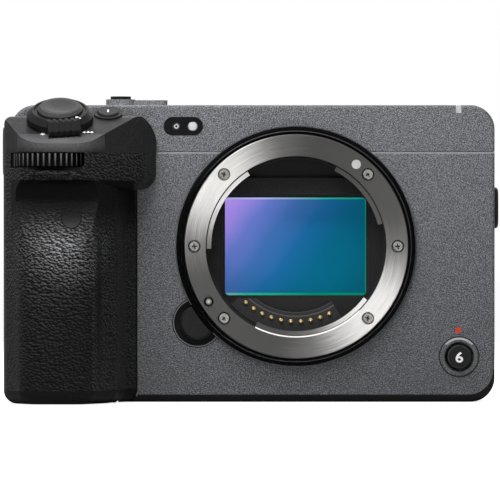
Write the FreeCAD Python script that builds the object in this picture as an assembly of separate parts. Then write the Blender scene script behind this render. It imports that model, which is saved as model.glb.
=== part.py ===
"""A box-shaped interchangeable-lens cinema camera body with a hand grip, as separate pieces.

Millimetres. The origin is on the optical axis in the plane of the lens flange.
-Y looks out of the lens mount, +X is the port side, +Z is up.
"""
import FreeCAD, Part
import math
import os
from FreeCAD import Vector

# Housing
body_left = 74.4
body_right = 51.9
body_top = 36.9
body_bottom = 40.6
front_y = 3.6
body_depth = 46.4
wall = 1.6
corner_r = 6.3
edge_r = 0.9
seam_z = 24.75
seam_gap = 0.2
base_strip = 1.45
front_wrap = 8.4
rear_wrap = 12.0
foot_height = 0.3
foot_r = 0.95

# Fits
button_gap = 0.15
running_gap = 0.08
part_gap = 0.3
slide_gap = 0.2
hinge_gap = 0.2

# Grip
grip_right = 41.35
grip_left = 75.6
grip_lean = 1.3
grip_nose = 26.0
grip_nose_x = 61.5
grip_back_y = 18.0
grip_low_z = -37.1
grip_skin = 1.2
grip_shell = 1.4
grip_base_r = 3.4
finger_depth = 6.5
nose_right_x = 53.5
groove_depth = 6.3
groove_z = 14.8
groove_low_z = -3.5
groove_r = 5.0

# Grip top
top_tilt = 26.0
top_front_z = 28.4
top_front_y = -21.0
top_skin = 2.6
shoulder_z = 33.6
shoulder_arc_r = 9.0
shoulder_arc_z = 30.6
shoulder_slant = 50.0

# Lens mount
mount_outer_r = 29.2
mount_bore_r = 23.55
mount_thick = 2.0
tab_inner_r = 22.1
tab_thick = 1.2
tab_spans = ((14.7, 63.0), (123.0, 181.6), (243.0, 323.0))
mount_screw_pcr = mount_outer_r - 2.7
mount_screw_angles = (0.0, 45.0, 135.0, 180.0, 225.0, 315.0)
screw_head_r = 1.6
screw_head_h = 1.0
screw_shank_r = 0.8
screw_length = 5.0
trim_bore = mount_outer_r + 0.1
trim_width = 1.9
trim_outer_r = trim_bore + trim_width
trim_step_r = trim_bore + 0.8
trim_proud = 2.4
lock_pin_r = 1.2
lock_pin_pcr = mount_outer_r - 2.3
lock_pin_angle = 212.3
lock_pin_proud = 1.2

# Lens release button
release_pcr = trim_outer_r + 1.3
release_angle = 217.7
release_r = 4.5
release_rim = 1.6
release_proud = 1.5
release_travel = 2.0

# Optics
flange_to_sensor = 18.0
contact_pcr = 19.7
contact_r = 0.55
contact_count = 10
contact_start = 228.3
contact_step = 7.58
contact_face_y = 8.2
baffle_front_y = 5.2
baffle_depth = 6.8
gate_w = 38.6
gate_h = 27.0
sensor_w = 37.1
sensor_h = 25.7
sensor_glass_t = 1.0
sensor_corner = 1.1
sensor_shift = 1.0
carrier_margin = 4.5
carrier_t = 3.2
stage_plate_t = 1.6

# Battery and cards
battery_w = 22.7
battery_d = 38.7
battery_h = 51.7
chamber_wall = 0.8
chamber_gap = 0.25
chamber_left = 71.0
chamber_front_y = -3.0
card_unit_w = 32.0
card_unit_h = 27.0
card_slot_h = 24.6
card_slot_t = 2.6
card_door_h = 42.0


def at(x, y, z):
    return Vector(x, y, z)


def block(x0, x1, y0, y1, z0, z1):
    return Part.makeBox(x1 - x0, y1 - y0, z1 - z0, at(x0, y0, z0))


def rod(x, y, z, axis, r, length):
    return Part.makeCylinder(r, length, at(x, y, z), Vector(*axis))


def tube(x, y, z, axis, r_out, r_in, length):
    return rod(x, y, z, axis, r_out, length).cut(rod(x, y, z, axis, r_in, length))


def on_xz(y):
    return lambda u, w: at(u, y, w)


def on_xy(z):
    return lambda u, w: at(u, w, z)


def on_yz(x):
    return lambda u, w: at(x, u, w)


def rounded_face(u0, u1, w0, w1, r, place):
    """A rectangle with rounded corners, in the plane that place maps to."""
    k = r * (1 - math.sqrt(0.5))
    edges = []
    corners = (
        ((u1 - r, w0), (u1 - k, w0 + k), (u1, w0 + r)),
        ((u1, w1 - r), (u1 - k, w1 - k), (u1 - r, w1)),
        ((u0 + r, w1), (u0 + k, w1 - k), (u0, w1 - r)),
        ((u0, w0 + r), (u0 + k, w0 + k), (u0 + r, w0)),
    )
    for i, corner in enumerate(corners):
        start, middle, end = (place(*p) for p in corner)
        following = place(*corners[(i + 1) % 4][0])
        edges.append(Part.Arc(start, middle, end).toShape())
        if end.distanceToPoint(following) > 1e-6:
            edges.append(Part.LineSegment(end, following).toShape())
    return Part.Face(Part.Wire(edges))


def slab_y(u0, u1, w0, w1, r, y0, y1):
    return rounded_face(u0, u1, w0, w1, r, on_xz(y0)).extrude(at(0, y1 - y0, 0))


def slab_z(u0, u1, w0, w1, r, z0, z1):
    return rounded_face(u0, u1, w0, w1, r, on_xy(z0)).extrude(at(0, 0, z1 - z0))


def slab_x(u0, u1, w0, w1, r, x0, x1):
    return rounded_face(u0, u1, w0, w1, r, on_yz(x0)).extrude(at(x1 - x0, 0, 0))


def fused(*shapes):
    result = shapes[0]
    for shape in shapes[1:]:
        result = result.fuse(shape)
    return result.removeSplitter()


def minus(shape, *tools):
    for tool in tools:
        shape = shape.cut(tool)
    return shape


def polar(radius, degrees):
    """A point (x, z) round the optical axis, seen from the front."""
    a = math.radians(degrees)
    return radius * math.cos(a), radius * math.sin(a)


def outline(points, place):
    """A closed face through (u, w, r) corners, each rounded by its own radius."""
    edges = []
    ends = []
    count = len(points)
    for i, (u, w, r) in enumerate(points):
        corner = at(u, w, 0)
        back = at(*points[i - 1][:2], 0) - corner
        ahead = at(*points[(i + 1) % count][:2], 0) - corner
        half = back.getAngle(ahead) / 2
        reach = r / math.tan(half)
        back.normalize()
        ahead.normalize()
        toward = back + ahead
        if toward.Length > 1e-9:
            toward.normalize()
        mid = corner + toward * (r / math.sin(half) - r)
        ends.append((corner + back * reach, mid, corner + ahead * reach, r))
    for i, (start, mid, end, r) in enumerate(ends):
        if r > 0:
            edges.append(Part.Arc(*(place(p.x, p.y) for p in (start, mid, end))).toShape())
        following = ends[(i + 1) % count][0]
        if end.distanceToPoint(following) > 1e-6:
            edges.append(Part.LineSegment(place(end.x, end.y), place(following.x, following.y)).toShape())
    return Part.Face(Part.Wire(edges))


def inset(face, depth):
    return Part.Face(face.OuterWire.makeOffset2D(-depth))


def eased(shape, r, chosen):
    """Round the edges that chosen(edge) picks."""
    edges = [e for e in shape.Edges if chosen(e)]
    return shape.makeFillet(r, edges) if edges else shape


def round_edges_at(shape, r, point, normal):
    """Round the circular and straight edges that lie in one plane."""
    n = Vector(*normal)
    base = Vector(*point)
    return eased(shape, r, lambda e: all(abs((v.Point - base).dot(n)) < 1e-4 for v in e.Vertexes)
                 and abs((e.CenterOfMass - base).dot(n)) < 1e-4)


def bevel_edges_at(shape, size, point, normal, shortest=0.0):
    """Bevel the edges of at least one length that lie in one plane."""
    n = Vector(*normal)
    base = Vector(*point)
    edges = [e for e in shape.Edges if e.Length > shortest
             and all(abs((v.Point - base).dot(n)) < 1e-4 for v in e.Vertexes)
             and abs((e.CenterOfMass - base).dot(n)) < 1e-4]
    return shape.makeChamfer(size, edges)


def button(base, normal, r, height, crown):
    """A round push button with a softened rim, standing on base."""
    n = Vector(*normal).normalize()
    top = Vector(*base) + n * height
    return bevel_edges_at(Part.makeCylinder(r, height, Vector(*base), n), crown, top, n)


def ribbed_disc(base, normal, r, height, teeth, notch):
    """A thumb wheel: a disc with a ring of round notches cut in its rim."""
    n = Vector(*normal).normalize()
    side = n.cross(at(1, 0, 0)) if abs(n.x) < 0.9 else n.cross(at(0, 1, 0))
    side.normalize()
    other = n.cross(side)
    disc = Part.makeCylinder(r, height, Vector(*base), n)
    cutters = []
    for i in range(teeth):
        a = 2 * math.pi * i / teeth
        centre = Vector(*base) + side * (r * math.cos(a)) + other * (r * math.sin(a))
        cutters.append(Part.makeCylinder(notch, height, centre, n))
    return disc.cut(Part.Compound(cutters))


nodes = {}

# Housing shells
rear_y = front_y + body_depth
floor_z = -body_bottom + base_strip


def below(z):
    return block(-body_left - 9, body_right + 9, -60, 90, -90, z)


def above(z):
    return block(-body_left - 9, body_right + 9, -60, 90, z, 90)


body_solid = slab_y(-body_left, body_right, -body_bottom, body_top, corner_r, front_y, rear_y)
body_solid = round_edges_at(body_solid, edge_r, (0, front_y, 0), (0, 1, 0))
body_solid = round_edges_at(body_solid, edge_r, (0, rear_y, 0), (0, 1, 0))
cavity = slab_y(-body_left + wall, body_right - wall, -body_bottom - corner_r, body_top - wall,
                corner_r - wall, front_y + wall, rear_y - wall).cut(below(floor_z))
shell = body_solid.cut(cavity).cut(below(floor_z))

grip_wall_x = -grip_right
front_zone = block(grip_wall_x, 90, front_y - 9, front_y + front_wrap, -90, seam_z - seam_gap)
rear_split_y = rear_y - rear_wrap
left_zone = block(-90, grip_wall_x, grip_back_y, rear_y + 9, -90, seam_z - seam_gap)
rear_zone = block(-90, 90, rear_split_y, rear_y + 9, -90, seam_z - seam_gap).fuse(left_zone)
side_zone = block(0, 90, front_y + front_wrap + seam_gap, rear_split_y - seam_gap, -90, seam_z - seam_gap)

mount_hole = rod(0, front_y - 9, 0, (0, 1, 0), trim_outer_r + seam_gap, 30)
release_x, release_z = polar(release_pcr, release_angle)
release_recess = rod(release_x, front_y - 9, release_z, (0, 1, 0), release_r + release_rim, 9 + 1.2)
release_hole = rod(release_x, front_y - 9, release_z, (0, 1, 0), release_r + button_gap, 30)
front_button_x = 42.6
front_button_z = -28.8
bezel_r = 5.1
bezel_bore = 3.9
cap_r = 3.25
bezel_proud = 0.5
cap_proud = 1.4
button_hole = rod(front_button_x, front_y - 9, front_button_z, (0, 1, 0), bezel_r - 0.8, 30)
nodes["front_cover"] = minus(shell.common(front_zone), mount_hole, release_recess, release_hole,
                             button_hole)

# Grip: a lofted handle with a finger valley beside the mount and a finger groove below the wheel
leather_top = 24.1
grip_join_r = 20.0
valley_x = 46.4
shoulder_x = 36.5
lobe_low_z = 14.7
lobe_round = 4.4
lobe_left = 60.0


def grip_outline(nose_y, z):
    side = grip_left - body_left
    return outline((
        (-body_left, grip_back_y, 0),
        (-grip_left, grip_back_y - 8 * side, grip_join_r),
        (-grip_left, nose_y + 11, 8),
        (-grip_nose_x - 8, nose_y, 7),
        (-nose_right_x, nose_y, 6.5),
        (-valley_x, nose_y + 13, 6.5),
        (grip_wall_x - 3.2, front_y - finger_depth, 4),
        (grip_wall_x, front_y, 0),
        (grip_wall_x, grip_back_y, 0),
    ), on_xy(z))


def lobe(depth):
    """The overhang beside the mount below the top housing, shrunk by depth."""
    plan = outline(((-lobe_left - 5, front_y + 5, 0), (-lobe_left - 5, -grip_nose + 0.8, 0),
                    (-nose_right_x, -grip_nose + 0.8, 8), (-shoulder_x - 3, -8, 7),
                    (-shoulder_x, front_y - 2, 7), (-shoulder_x, front_y + 5, 0)),
                   on_xy(lobe_low_z + depth))
    if depth:
        plan = inset(plan, depth)
    solid = plan.extrude(at(0, 0, leather_top - lobe_low_z - depth))
    solid = eased(solid, lobe_round - depth,
                  lambda e: all(abs(v.Z - lobe_low_z - depth) < 1e-4 for v in e.Vertexes)
                  and e.CenterOfMass.y < front_y and e.CenterOfMass.x > -lobe_left - 4 + depth)
    return solid.common(block(-lobe_left, 0, -60, front_y, 0, 60))


def finger_groove(depth):
    """The hollow for the fingers: steep under the wheel, easing out downward, grown by depth."""
    profile = outline(((-grip_nose - 8, groove_z + 8.2, 0), (-grip_nose - 8, groove_low_z - 20, 0),
                       (-grip_nose - 0.3, groove_low_z, 25),
                       (-grip_nose + groove_depth, groove_z, groove_r)),
                      on_yz(-90))
    if depth:
        profile = inset(profile, -depth)
    return profile.extrude(at(60, 0, 0))


def grip_loft(depth, z0, z1, base_r=0):
    faces = [grip_outline(-grip_nose + grip_lean, z0), grip_outline(-grip_nose, z1)]
    wires = [inset(f, depth).OuterWire if depth else f.OuterWire for f in faces]
    loft = Part.makeLoft(wires, True, True)
    if base_r:
        loft = round_edges_at(loft, base_r, (0, 0, z0), (0, 0, 1))
    return loft.fuse(lobe(depth)).cut(finger_groove(depth)).removeSplitter()


grip_solid = grip_loft(0, -body_bottom, leather_top, grip_base_r)
leather_core = grip_loft(grip_skin, -body_bottom, leather_top)
leather_zone = fused(block(-90, grip_wall_x - 3, -60, grip_back_y - 2.5, grip_low_z, leather_top),
                     block(grip_wall_x - 4, grip_wall_x - 0.4, -60, front_y - 0.3, grip_low_z, leather_top),
                     block(-lobe_left, 0, -60, front_y - 0.05, lobe_low_z - 1, leather_top))
leather = grip_solid.cut(leather_core).common(leather_zone)
hollow = grip_loft(grip_skin + grip_shell, floor_z, leather_top - 0.01).cut(below(floor_z))
open_back = block(-body_left + wall, grip_wall_x - wall, grip_back_y - 9, grip_back_y + 1, floor_z,
                  leather_top)
nodes["grip_leather"] = leather
open_side = block(grip_wall_x - wall - grip_skin - grip_shell, grip_wall_x + 1, front_y + wall + 0.2,
                  grip_back_y + 1, floor_z - 1, leather_top + 1)
nodes["grip_body"] = minus(grip_solid, leather, hollow, open_back, open_side, below(floor_z))

# Base plate, battery hatch, door and latch
hatch_edge = 0.6
hatch_left = -chamber_left - hatch_edge
hatch_right = -chamber_left + battery_w + 2 * chamber_gap + hatch_edge
hatch_front = chamber_front_y - hatch_edge
hatch_rear = chamber_front_y + battery_d + 2 * chamber_gap + hatch_edge
hinge_r = base_strip / 2
stub_r = 0.4
stub_length = 1.0
hinge_z = -body_bottom + hinge_r
base_solid = body_solid.common(below(floor_z)).fuse(grip_solid.common(below(floor_z))).removeSplitter()
hatch = slab_z(hatch_left, hatch_right + hinge_r + hinge_gap, hatch_front, hatch_rear, 0.3,
               -body_bottom - 1, floor_z + 1)
stubs = rod(hatch_right, hatch_front - stub_length, hinge_z, (0, 1, 0), stub_r,
            hatch_rear - hatch_front + 2 * stub_length)
stub_holes = rod(hatch_right, hatch_front - stub_length - 0.2, hinge_z, (0, 1, 0), stub_r + running_gap,
                 hatch_rear - hatch_front + 2 * stub_length + 0.4)
tripod_y = 24.0
tripod_flange_r = 7.0
thread_r = 2.55
bush_depth = 5.0
pads = [rod(x, y, -body_bottom - foot_height, (0, 0, 1), foot_r, foot_height)
        for x in (-63.9, 34.8) for y in (rear_y - 16.5, rear_y - 4.5)]
tongue_w = 7.0
tongue_reach = 1.1
latch_y = (hatch_front + hatch_rear) / 2
tongue_slot = block(hatch_left - tongue_reach - 0.3, hatch_left + 1, latch_y - tongue_w / 2 - slide_gap,
                    latch_y + tongue_w / 2 + slide_gap, floor_z - 1.05, floor_z + 1)
base_plate = fused(base_solid, *pads)
base_plate = minus(base_plate, hatch, stub_holes, tongue_slot,
                   rod(0, tripod_y, -body_bottom - 1, (0, 0, 1), tripod_flange_r + 0.1, 4))
nodes["base_plate"] = base_plate

knuckle = rod(hatch_right, hatch_front + 0.2, hinge_z, (0, 1, 0), hinge_r, hatch_rear - hatch_front - 0.4)
door = slab_z(hatch_left + button_gap, hatch_right, hatch_front + 0.2, hatch_rear - 0.2, 0.3,
              -body_bottom, floor_z)
latch_w = 9.0
latch_l = 12.0
latch_travel = 1.2
latch_pocket_l = latch_l + latch_travel
latch_x = hatch_left + 1.6
pocket = block(latch_x - 0.05, latch_x + latch_pocket_l, latch_y - latch_w / 2 - slide_gap,
               latch_y + latch_w / 2 + slide_gap, -body_bottom - 1, floor_z - 0.35)
tongue_way = block(hatch_left - 1, latch_x + 1, latch_y - tongue_w / 2 - slide_gap,
                   latch_y + tongue_w / 2 + slide_gap, floor_z - 1.05, floor_z - 0.35)
nodes["battery_door"] = minus(fused(door, knuckle, stubs), pocket, tongue_way)
latch = block(latch_x + latch_travel, latch_x + latch_travel + latch_l - 0.1, latch_y - latch_w / 2,
              latch_y + latch_w / 2, -body_bottom + 0.15, floor_z - 0.45)
tongue = block(hatch_left + button_gap, latch_x + latch_travel + 1, latch_y - tongue_w / 2,
               latch_y + tongue_w / 2, floor_z - 0.95, floor_z - 0.45)
thumb_ribs = [block(latch_x + 4 + 1.6 * i, latch_x + 4.7 + 1.6 * i, latch_y - 3, latch_y + 3,
                    -body_bottom, -body_bottom + 0.2) for i in range(5)]
nodes["battery_latch"] = fused(latch, tongue, *thumb_ribs)

# Battery and its chamber
battery_bottom = floor_z + part_gap
nodes["battery"] = eased(block(-chamber_left + chamber_gap, -chamber_left + chamber_gap + battery_w,
                               chamber_front_y + chamber_gap, chamber_front_y + chamber_gap + battery_d,
                               battery_bottom, battery_bottom + battery_h), 1.2,
                         lambda e: abs(e.tangentAt(e.FirstParameter).z) > 0.9)
chamber_w = battery_w + 2 * chamber_gap
chamber_d = battery_d + 2 * chamber_gap
chamber_top = battery_bottom + battery_h + part_gap
chamber = block(-chamber_left - chamber_wall, -chamber_left + chamber_w + chamber_wall,
                chamber_front_y - chamber_wall, chamber_front_y + chamber_d + chamber_wall,
                floor_z, chamber_top + chamber_wall)
chamber_hollow = block(-chamber_left, -chamber_left + chamber_w, chamber_front_y,
                       chamber_front_y + chamber_d, floor_z - 1, chamber_top)

chamber_room = block(-90, -chamber_left + chamber_w + chamber_wall + 0.1,
                     chamber_front_y - chamber_wall - 0.1,
                     90, -90, chamber_top + chamber_wall + 0.1).common(
    block(-chamber_left - chamber_wall, 90, -60, 90, -90, 90))
nodes["grip_body"] = nodes["grip_body"].cut(chamber_room)

# Grip top: black shoulder with a deck that leans forward
deck_tan = math.tan(math.radians(top_tilt))
deck_cos = math.cos(math.radians(top_tilt))
deck_sin = math.sin(math.radians(top_tilt))
deck_normal = (0, -deck_sin, deck_cos)
top_back_y = front_y + 3.2


def deck_point(x, y, lift=0.0):
    """A point on the leaning deck, raised along its normal."""
    z = top_front_z + (y - top_front_y) * deck_tan
    return (x, y - lift * deck_sin, z + lift * deck_cos)


top_plan = outline((
    (-body_left, top_back_y, 0),
    (-body_left, top_back_y - 2, 1),
    (-grip_left, top_back_y - 9, 8),
    (-grip_left, -11, 8),
    (-grip_nose_x - 8, -grip_nose + 0.8, 8),
    (-nose_right_x, -grip_nose + 0.8, 8),
    (-shoulder_x - 3, -8, 5),
    (-shoulder_x, front_y - 2, 3),
    (-shoulder_x, top_back_y, 0),
), on_xy(leather_top))
top_block = top_plan.extrude(at(0, 0, body_top - leather_top))
deck_half = outline(((top_front_y - 30, -30, 0), (top_back_y + 30, -30, 0),
                     (top_back_y + 30, shoulder_z, 0),
                     (top_front_y + (shoulder_z - top_front_z) / deck_tan, shoulder_z, 4),
                     (top_front_y - 30, top_front_z - 30 * deck_tan, 0)), on_yz(-100))
deck_half = deck_half.extrude(at(100, 0, 0))
slant_rise = 90.0 - shoulder_arc_z
shoulder_side = outline(((-90, leather_top - 9, 0), (-shoulder_x, leather_top - 9, 0),
                         (-shoulder_x, shoulder_arc_z, shoulder_arc_r),
                         (-shoulder_x - slant_rise * math.tan(math.radians(shoulder_slant)), 90, 0),
                         (-90, 89, 0)), on_xz(-60))
grip_side = outline(((-grip_left, leather_top - 9, 0), (0, leather_top - 9, 0), (0, shoulder_z, 0),
                     (-grip_left, shoulder_z, 2.2)), on_xz(-60))
top_solid = top_block.common(deck_half).common(shoulder_side.extrude(at(0, 90, 0)))
top_solid = top_solid.common(grip_side.extrude(at(0, 90, 0)))

top_inner = inset(top_plan, top_skin).extrude(at(0, 0, body_top - leather_top))
top_inner = top_inner.common(deck_half.translated(at(0, top_skin * deck_sin, -top_skin * deck_cos)))

# Shutter button inside the zoom ring, both square to the leaning deck
ring_x = -61.0
ring_y = -13.1
ring_r = 8.6
ring_bore = 6.7
ring_height = 3.0
ring_lift = 0.3
hub_wall = 0.65
shutter_r = ring_bore - running_gap - hub_wall - button_gap
shutter_top = 4.4
shutter_root = 1.6


def deck_rod(x, y, r, low, high):
    return Part.makeCylinder(r, high - low, Vector(*deck_point(x, y, low)), Vector(*deck_normal))


hub = deck_rod(ring_x, ring_y, ring_bore - running_gap, -1.0, ring_lift + ring_height - 0.3)
shutter_bore = deck_rod(ring_x, ring_y, shutter_r + button_gap, -6, 6)
record_x = -48.7
record_y = -9.0
record_bezel_r = 3.7
record_r = 2.75
record_proud = 0.9
ring_seat = deck_rod(ring_x, ring_y, ring_r - 0.3, -3.4, 0)
record_ring = deck_rod(record_x, record_y, record_bezel_r, -3.0, 0.45)
record_bore = deck_rod(record_x, record_y, record_r + button_gap, -6, 2)
top_housing = top_solid.cut(top_inner.translated(at(0, 0, -0.01)))
top_housing = minus(fused(top_housing, ring_seat, hub, record_ring), shutter_bore, record_bore)
nodes["grip_top_housing"] = top_housing
nodes["front_cover"] = nodes["front_cover"].cut(
    block(-90, -shoulder_x + seam_gap, -60, 90, leather_top - seam_gap, 90))

ring = tube(*deck_point(ring_x, ring_y, ring_lift), deck_normal, ring_r, ring_bore, ring_height)
ring = bevel_edges_at(ring, 1.4, deck_point(ring_x, ring_y, ring_lift + ring_height), deck_normal,
                      2 * math.pi * (ring_r - 1))
tab_w = 8.4
tab_reach = 1.7
tab_turn = 8.5
rib_w = 0.75
rib_count = 6
rib_pitch = (tab_w - rib_w) / (rib_count - 1)


def tab_slice(x0, x1, depth):
    """A length of the lever's thumb tab, with its sloped front shrunk by depth."""
    front = -ring_r - tab_reach + depth
    top = ring_height + 0.7 - depth
    return outline(((front, 0.3, 0), (-ring_bore - 0.25, 0.3, 0), (-ring_bore - 0.25, top, 0),
                    (-ring_r + 0.3, top, 0.6), (front, 1.5, 0.4)), on_yz(x0)).extrude(at(x1 - x0, 0, 0))


tab = fused(tab_slice(-tab_w / 2, tab_w / 2, 0.35),
            *(tab_slice(x, x + rib_w, 0) for x in (-tab_w / 2 + i * rib_pitch for i in range(rib_count))))
tab.rotate(at(0, 0, 0), at(0, 0, 1), tab_turn)
tab.rotate(at(0, 0, 0), at(1, 0, 0), top_tilt)
tab.translate(Vector(*deck_point(ring_x, ring_y, ring_lift)))
nodes["zoom_lever"] = fused(ring, tab)
shutter = button(deck_point(ring_x, ring_y, -shutter_root), deck_normal, shutter_r,
                 shutter_root + shutter_top, 0.7)
dish_r = 14.0
dish = Part.makeSphere(dish_r, Vector(*deck_point(ring_x, ring_y, shutter_top + dish_r - 0.6)))
nodes["shutter_button"] = shutter.cut(dish)
nodes["record_button"] = button(deck_point(record_x, record_y, -1.5), deck_normal, record_r,
                                1.5 + record_proud, 0.35)

# Front thumb wheel on an upright axle, let into the grip
dial_x = -63.3
dial_r = 10.2
dial_low_z = 20.5
dial_high_z = 23.8
dial_y = -grip_nose - 0.3 + dial_r
dial_teeth = 42
dial_window_x = (-72.4, -54.4)
dial_notch = 0.36
axle_r = 1.1
axle_depth = 1.6
dial_slot = rod(dial_x, dial_y, dial_low_z - part_gap, (0, 0, 1), dial_r + part_gap, 9)
shelf = grip_loft(grip_skin + 0.6, floor_z, leather_top)
shelf = shelf.common(block(-90, grip_wall_x - 4, -60, dial_y + dial_r, dial_low_z - 2 * part_gap - 1.5,
                           dial_low_z - part_gap))
dial_axle = rod(dial_x, dial_y, dial_low_z - axle_depth, (0, 0, 1), axle_r,
                dial_high_z - dial_low_z + axle_depth)
axle_hole = rod(dial_x, dial_y, dial_low_z - axle_depth - 0.6, (0, 0, 1), axle_r + running_gap,
                axle_depth + 0.6)
dial_window = slab_y(*dial_window_x, dial_low_z - part_gap, leather_top + 5, 1.2, -40, dial_y)
dial_lip = slab_y(*dial_window_x, dial_low_z - part_gap - 0.8, leather_top + 5, 2.0, -40,
                  -grip_nose + grip_skin + 0.2)
dial_slot = dial_slot.fuse(dial_window).fuse(dial_lip).removeSplitter()
nodes["grip_body"] = minus(fused(nodes["grip_body"], shelf), dial_slot, axle_hole)
nodes["grip_leather"] = nodes["grip_leather"].cut(dial_slot)
front_dial = ribbed_disc((dial_x, dial_y, dial_low_z), (0, 0, 1), dial_r, dial_high_z - dial_low_z,
                         dial_teeth, dial_notch)
nodes["front_dial"] = fused(front_dial, dial_axle)

# Top cover with its sunk accessory shoe
shoe_y0 = 14.0
shoe_y1 = 33.0
foot_w = 18.6
rail_gap = 12.5
foot_t = 2.1
shoe_wall = 1.7
shoe_base_t = 1.2
rail_t = 1.4
shoe_half = foot_w / 2 + shoe_wall
pan_floor = body_top - shoe_base_t - foot_t - rail_t
pan_outer = block(-shoe_half - wall, shoe_half + wall, shoe_y0 - 0.2 - wall, rear_y, pan_floor - wall,
                  body_top).common(body_solid)
pan_inner = block(-shoe_half - 0.1, shoe_half + 0.1, shoe_y0 - 0.2, rear_y + 9, pan_floor, body_top + 9)
housing_corner = inset(shoulder_side, -seam_gap).extrude(at(0, 60 + top_back_y + seam_gap, 0))
housing_corner = housing_corner.common(below(shoulder_z + seam_gap))
window_x0 = -34.5
window_x1 = -24.3
window_z0 = 28.95
window_z1 = 33.75
window_r = (window_z1 - window_z0) / 2
window_depth = 0.2
window_hole = slab_y(window_x0 - 0.05, window_x1 + 0.05, window_z0 - 0.05, window_z1 + 0.05, window_r,
                     front_y - 1, front_y + 9)
tally_x0 = 41.75
tally_x1 = 43.25
tally_low_z = 34.8
tally_back_y = 11.0
tally_hole = block(tally_x0, tally_x1, front_y - 1, tally_back_y, tally_low_z, body_top + 1)
bush_r = 4.4
top_bush_x = (-24.0, 25.0)
top_bush_y = 25.0
top_bush_holes = [rod(x, top_bush_y, 20, (0, 0, 1), bush_r + 0.05, 30) for x in top_bush_x]
switch_x = -46.3
switch_y = 30.0
switch_r = 3.9
switch_post_r = 2.0
switch_top_z = 39.0
switch_post = rod(switch_x, switch_y, body_top - wall, (0, 0, 1), switch_post_r, 2.6 + wall)
top_button_x = -60.0
top_button_y = 13.0
top_button_r = 2.6
top_button_hole = rod(top_button_x, top_button_y, 20, (0, 0, 1), top_button_r + button_gap, 30)
rear_dial_x = -58.0
rear_dial_r = 9.0
rear_dial_y = rear_y + 2.6 - rear_dial_r
rear_dial_z = 27.6
rear_dial_h = 3.6
rear_slot = rod(rear_dial_x, rear_dial_y, rear_dial_z - part_gap, (0, 0, 1), rear_dial_r + part_gap,
                rear_dial_h + 2 * part_gap)
rear_shelf = block(rear_dial_x - 6, rear_dial_x + 6, rear_dial_y - 10.5, rear_y - wall,
                   rear_dial_z - part_gap - 1.2, rear_dial_z - part_gap)
rear_web = block(rear_dial_x - 6, rear_dial_x + 6, rear_dial_y - 10.5, rear_dial_y - 9,
                 rear_dial_z - part_gap - 1.2, body_top - wall / 2)
top_cover = shell.common(above(seam_z))
top_cover = minus(fused(top_cover, pan_outer, switch_post, rear_shelf, rear_web), pan_inner, housing_corner,
                  mount_hole, window_hole, tally_hole, top_button_hole, rear_slot,
                  rod(rear_dial_x, rear_dial_y, 20, (0, 0, 1), axle_r + running_gap, 8), *top_bush_holes)
nodes["top_cover"] = top_cover

nodes["front_window"] = slab_y(window_x0, window_x1, window_z0, window_z1, window_r - 0.01,
                               front_y + 0.1, front_y + wall + window_depth)
lens_x = -26.95
receiver_x = -31.2
window_mid_z = (window_z0 + window_z1) / 2
lamp_r = 1.28
receiver_r = 0.95
window_pockets = [rod(lens_x, front_y, window_mid_z, (0, 1, 0), lamp_r + 0.05, 1.2),
                  rod(receiver_x, front_y, window_mid_z, (0, 1, 0), receiver_r + 0.05, 1.2)]
nodes["front_window"] = minus(nodes["front_window"], *window_pockets)
lamp = button((lens_x, front_y + 1.15, window_mid_z), (0, -1, 0), lamp_r, 1.0, 0.25)
receiver = button((receiver_x, front_y + 1.15, window_mid_z), (0, -1, 0), receiver_r, 0.95, 0.2)
tally = block(tally_x0 + 0.05, tally_x1 - 0.05, front_y + 0.1, tally_back_y - 0.05, tally_low_z + 0.05,
              body_top - 0.1)
tally_void = block(tally_x0 - 1, tally_x1 + 1, front_y + wall, tally_back_y + 1, -90, body_top - wall)
nodes["indicator_lenses"] = Part.Compound([lamp, receiver, tally.cut(tally_void)])

# Accessory shoe with turned-in rails
shoe_z0 = pan_floor
shoe = block(-shoe_half, shoe_half, shoe_y0, shoe_y1, shoe_z0, body_top)
shoe_channel = block(-foot_w / 2, foot_w / 2, shoe_y0 + shoe_wall, shoe_y1 + 1, shoe_z0 + shoe_base_t,
                     body_top - rail_t)
shoe_mouth = block(-rail_gap / 2, rail_gap / 2, shoe_y0 + shoe_wall, shoe_y1 + 1, shoe_z0 + shoe_base_t,
                   body_top + 1)
nodes["accessory_shoe"] = minus(shoe, shoe_channel, shoe_mouth)

# Power switch: a collar on the post with a short thumb arm
switch_floor = body_top + 0.15
switch_arm = block(switch_x, switch_x + 10.7, switch_y - 1.7, switch_y + 1.7, switch_floor + 0.35,
                   switch_floor + 1.75)
switch = fused(rod(switch_x, switch_y, switch_floor, (0, 0, 1), switch_r, switch_top_z - switch_floor),
               rod(switch_x, switch_y, switch_top_z, (0, 0, 1), switch_r - 1.2, 0.8),
               switch_arm, rod(switch_x + 10.7, switch_y, switch_floor + 0.35, (0, 0, 1), 1.7, 1.4))
nodes["power_switch"] = switch.cut(rod(switch_x, switch_y, body_top, (0, 0, 1),
                                       switch_post_r + running_gap, 2.6 + 0.2))
nodes["top_button"] = button((top_button_x, top_button_y, body_top - wall - 0.8), (0, 0, 1), top_button_r,
                             wall + 0.8 + 0.7, 0.3)

# Rear thumb wheel
rear_axle = rod(rear_dial_x, rear_dial_y, rear_dial_z - 1.4, (0, 0, 1), axle_r, rear_dial_h + 1.4)
nodes["rear_dial"] = fused(ribbed_disc((rear_dial_x, rear_dial_y, rear_dial_z), (0, 0, 1), rear_dial_r,
                                       rear_dial_h, dial_teeth - 4, dial_notch), rear_axle)

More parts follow.
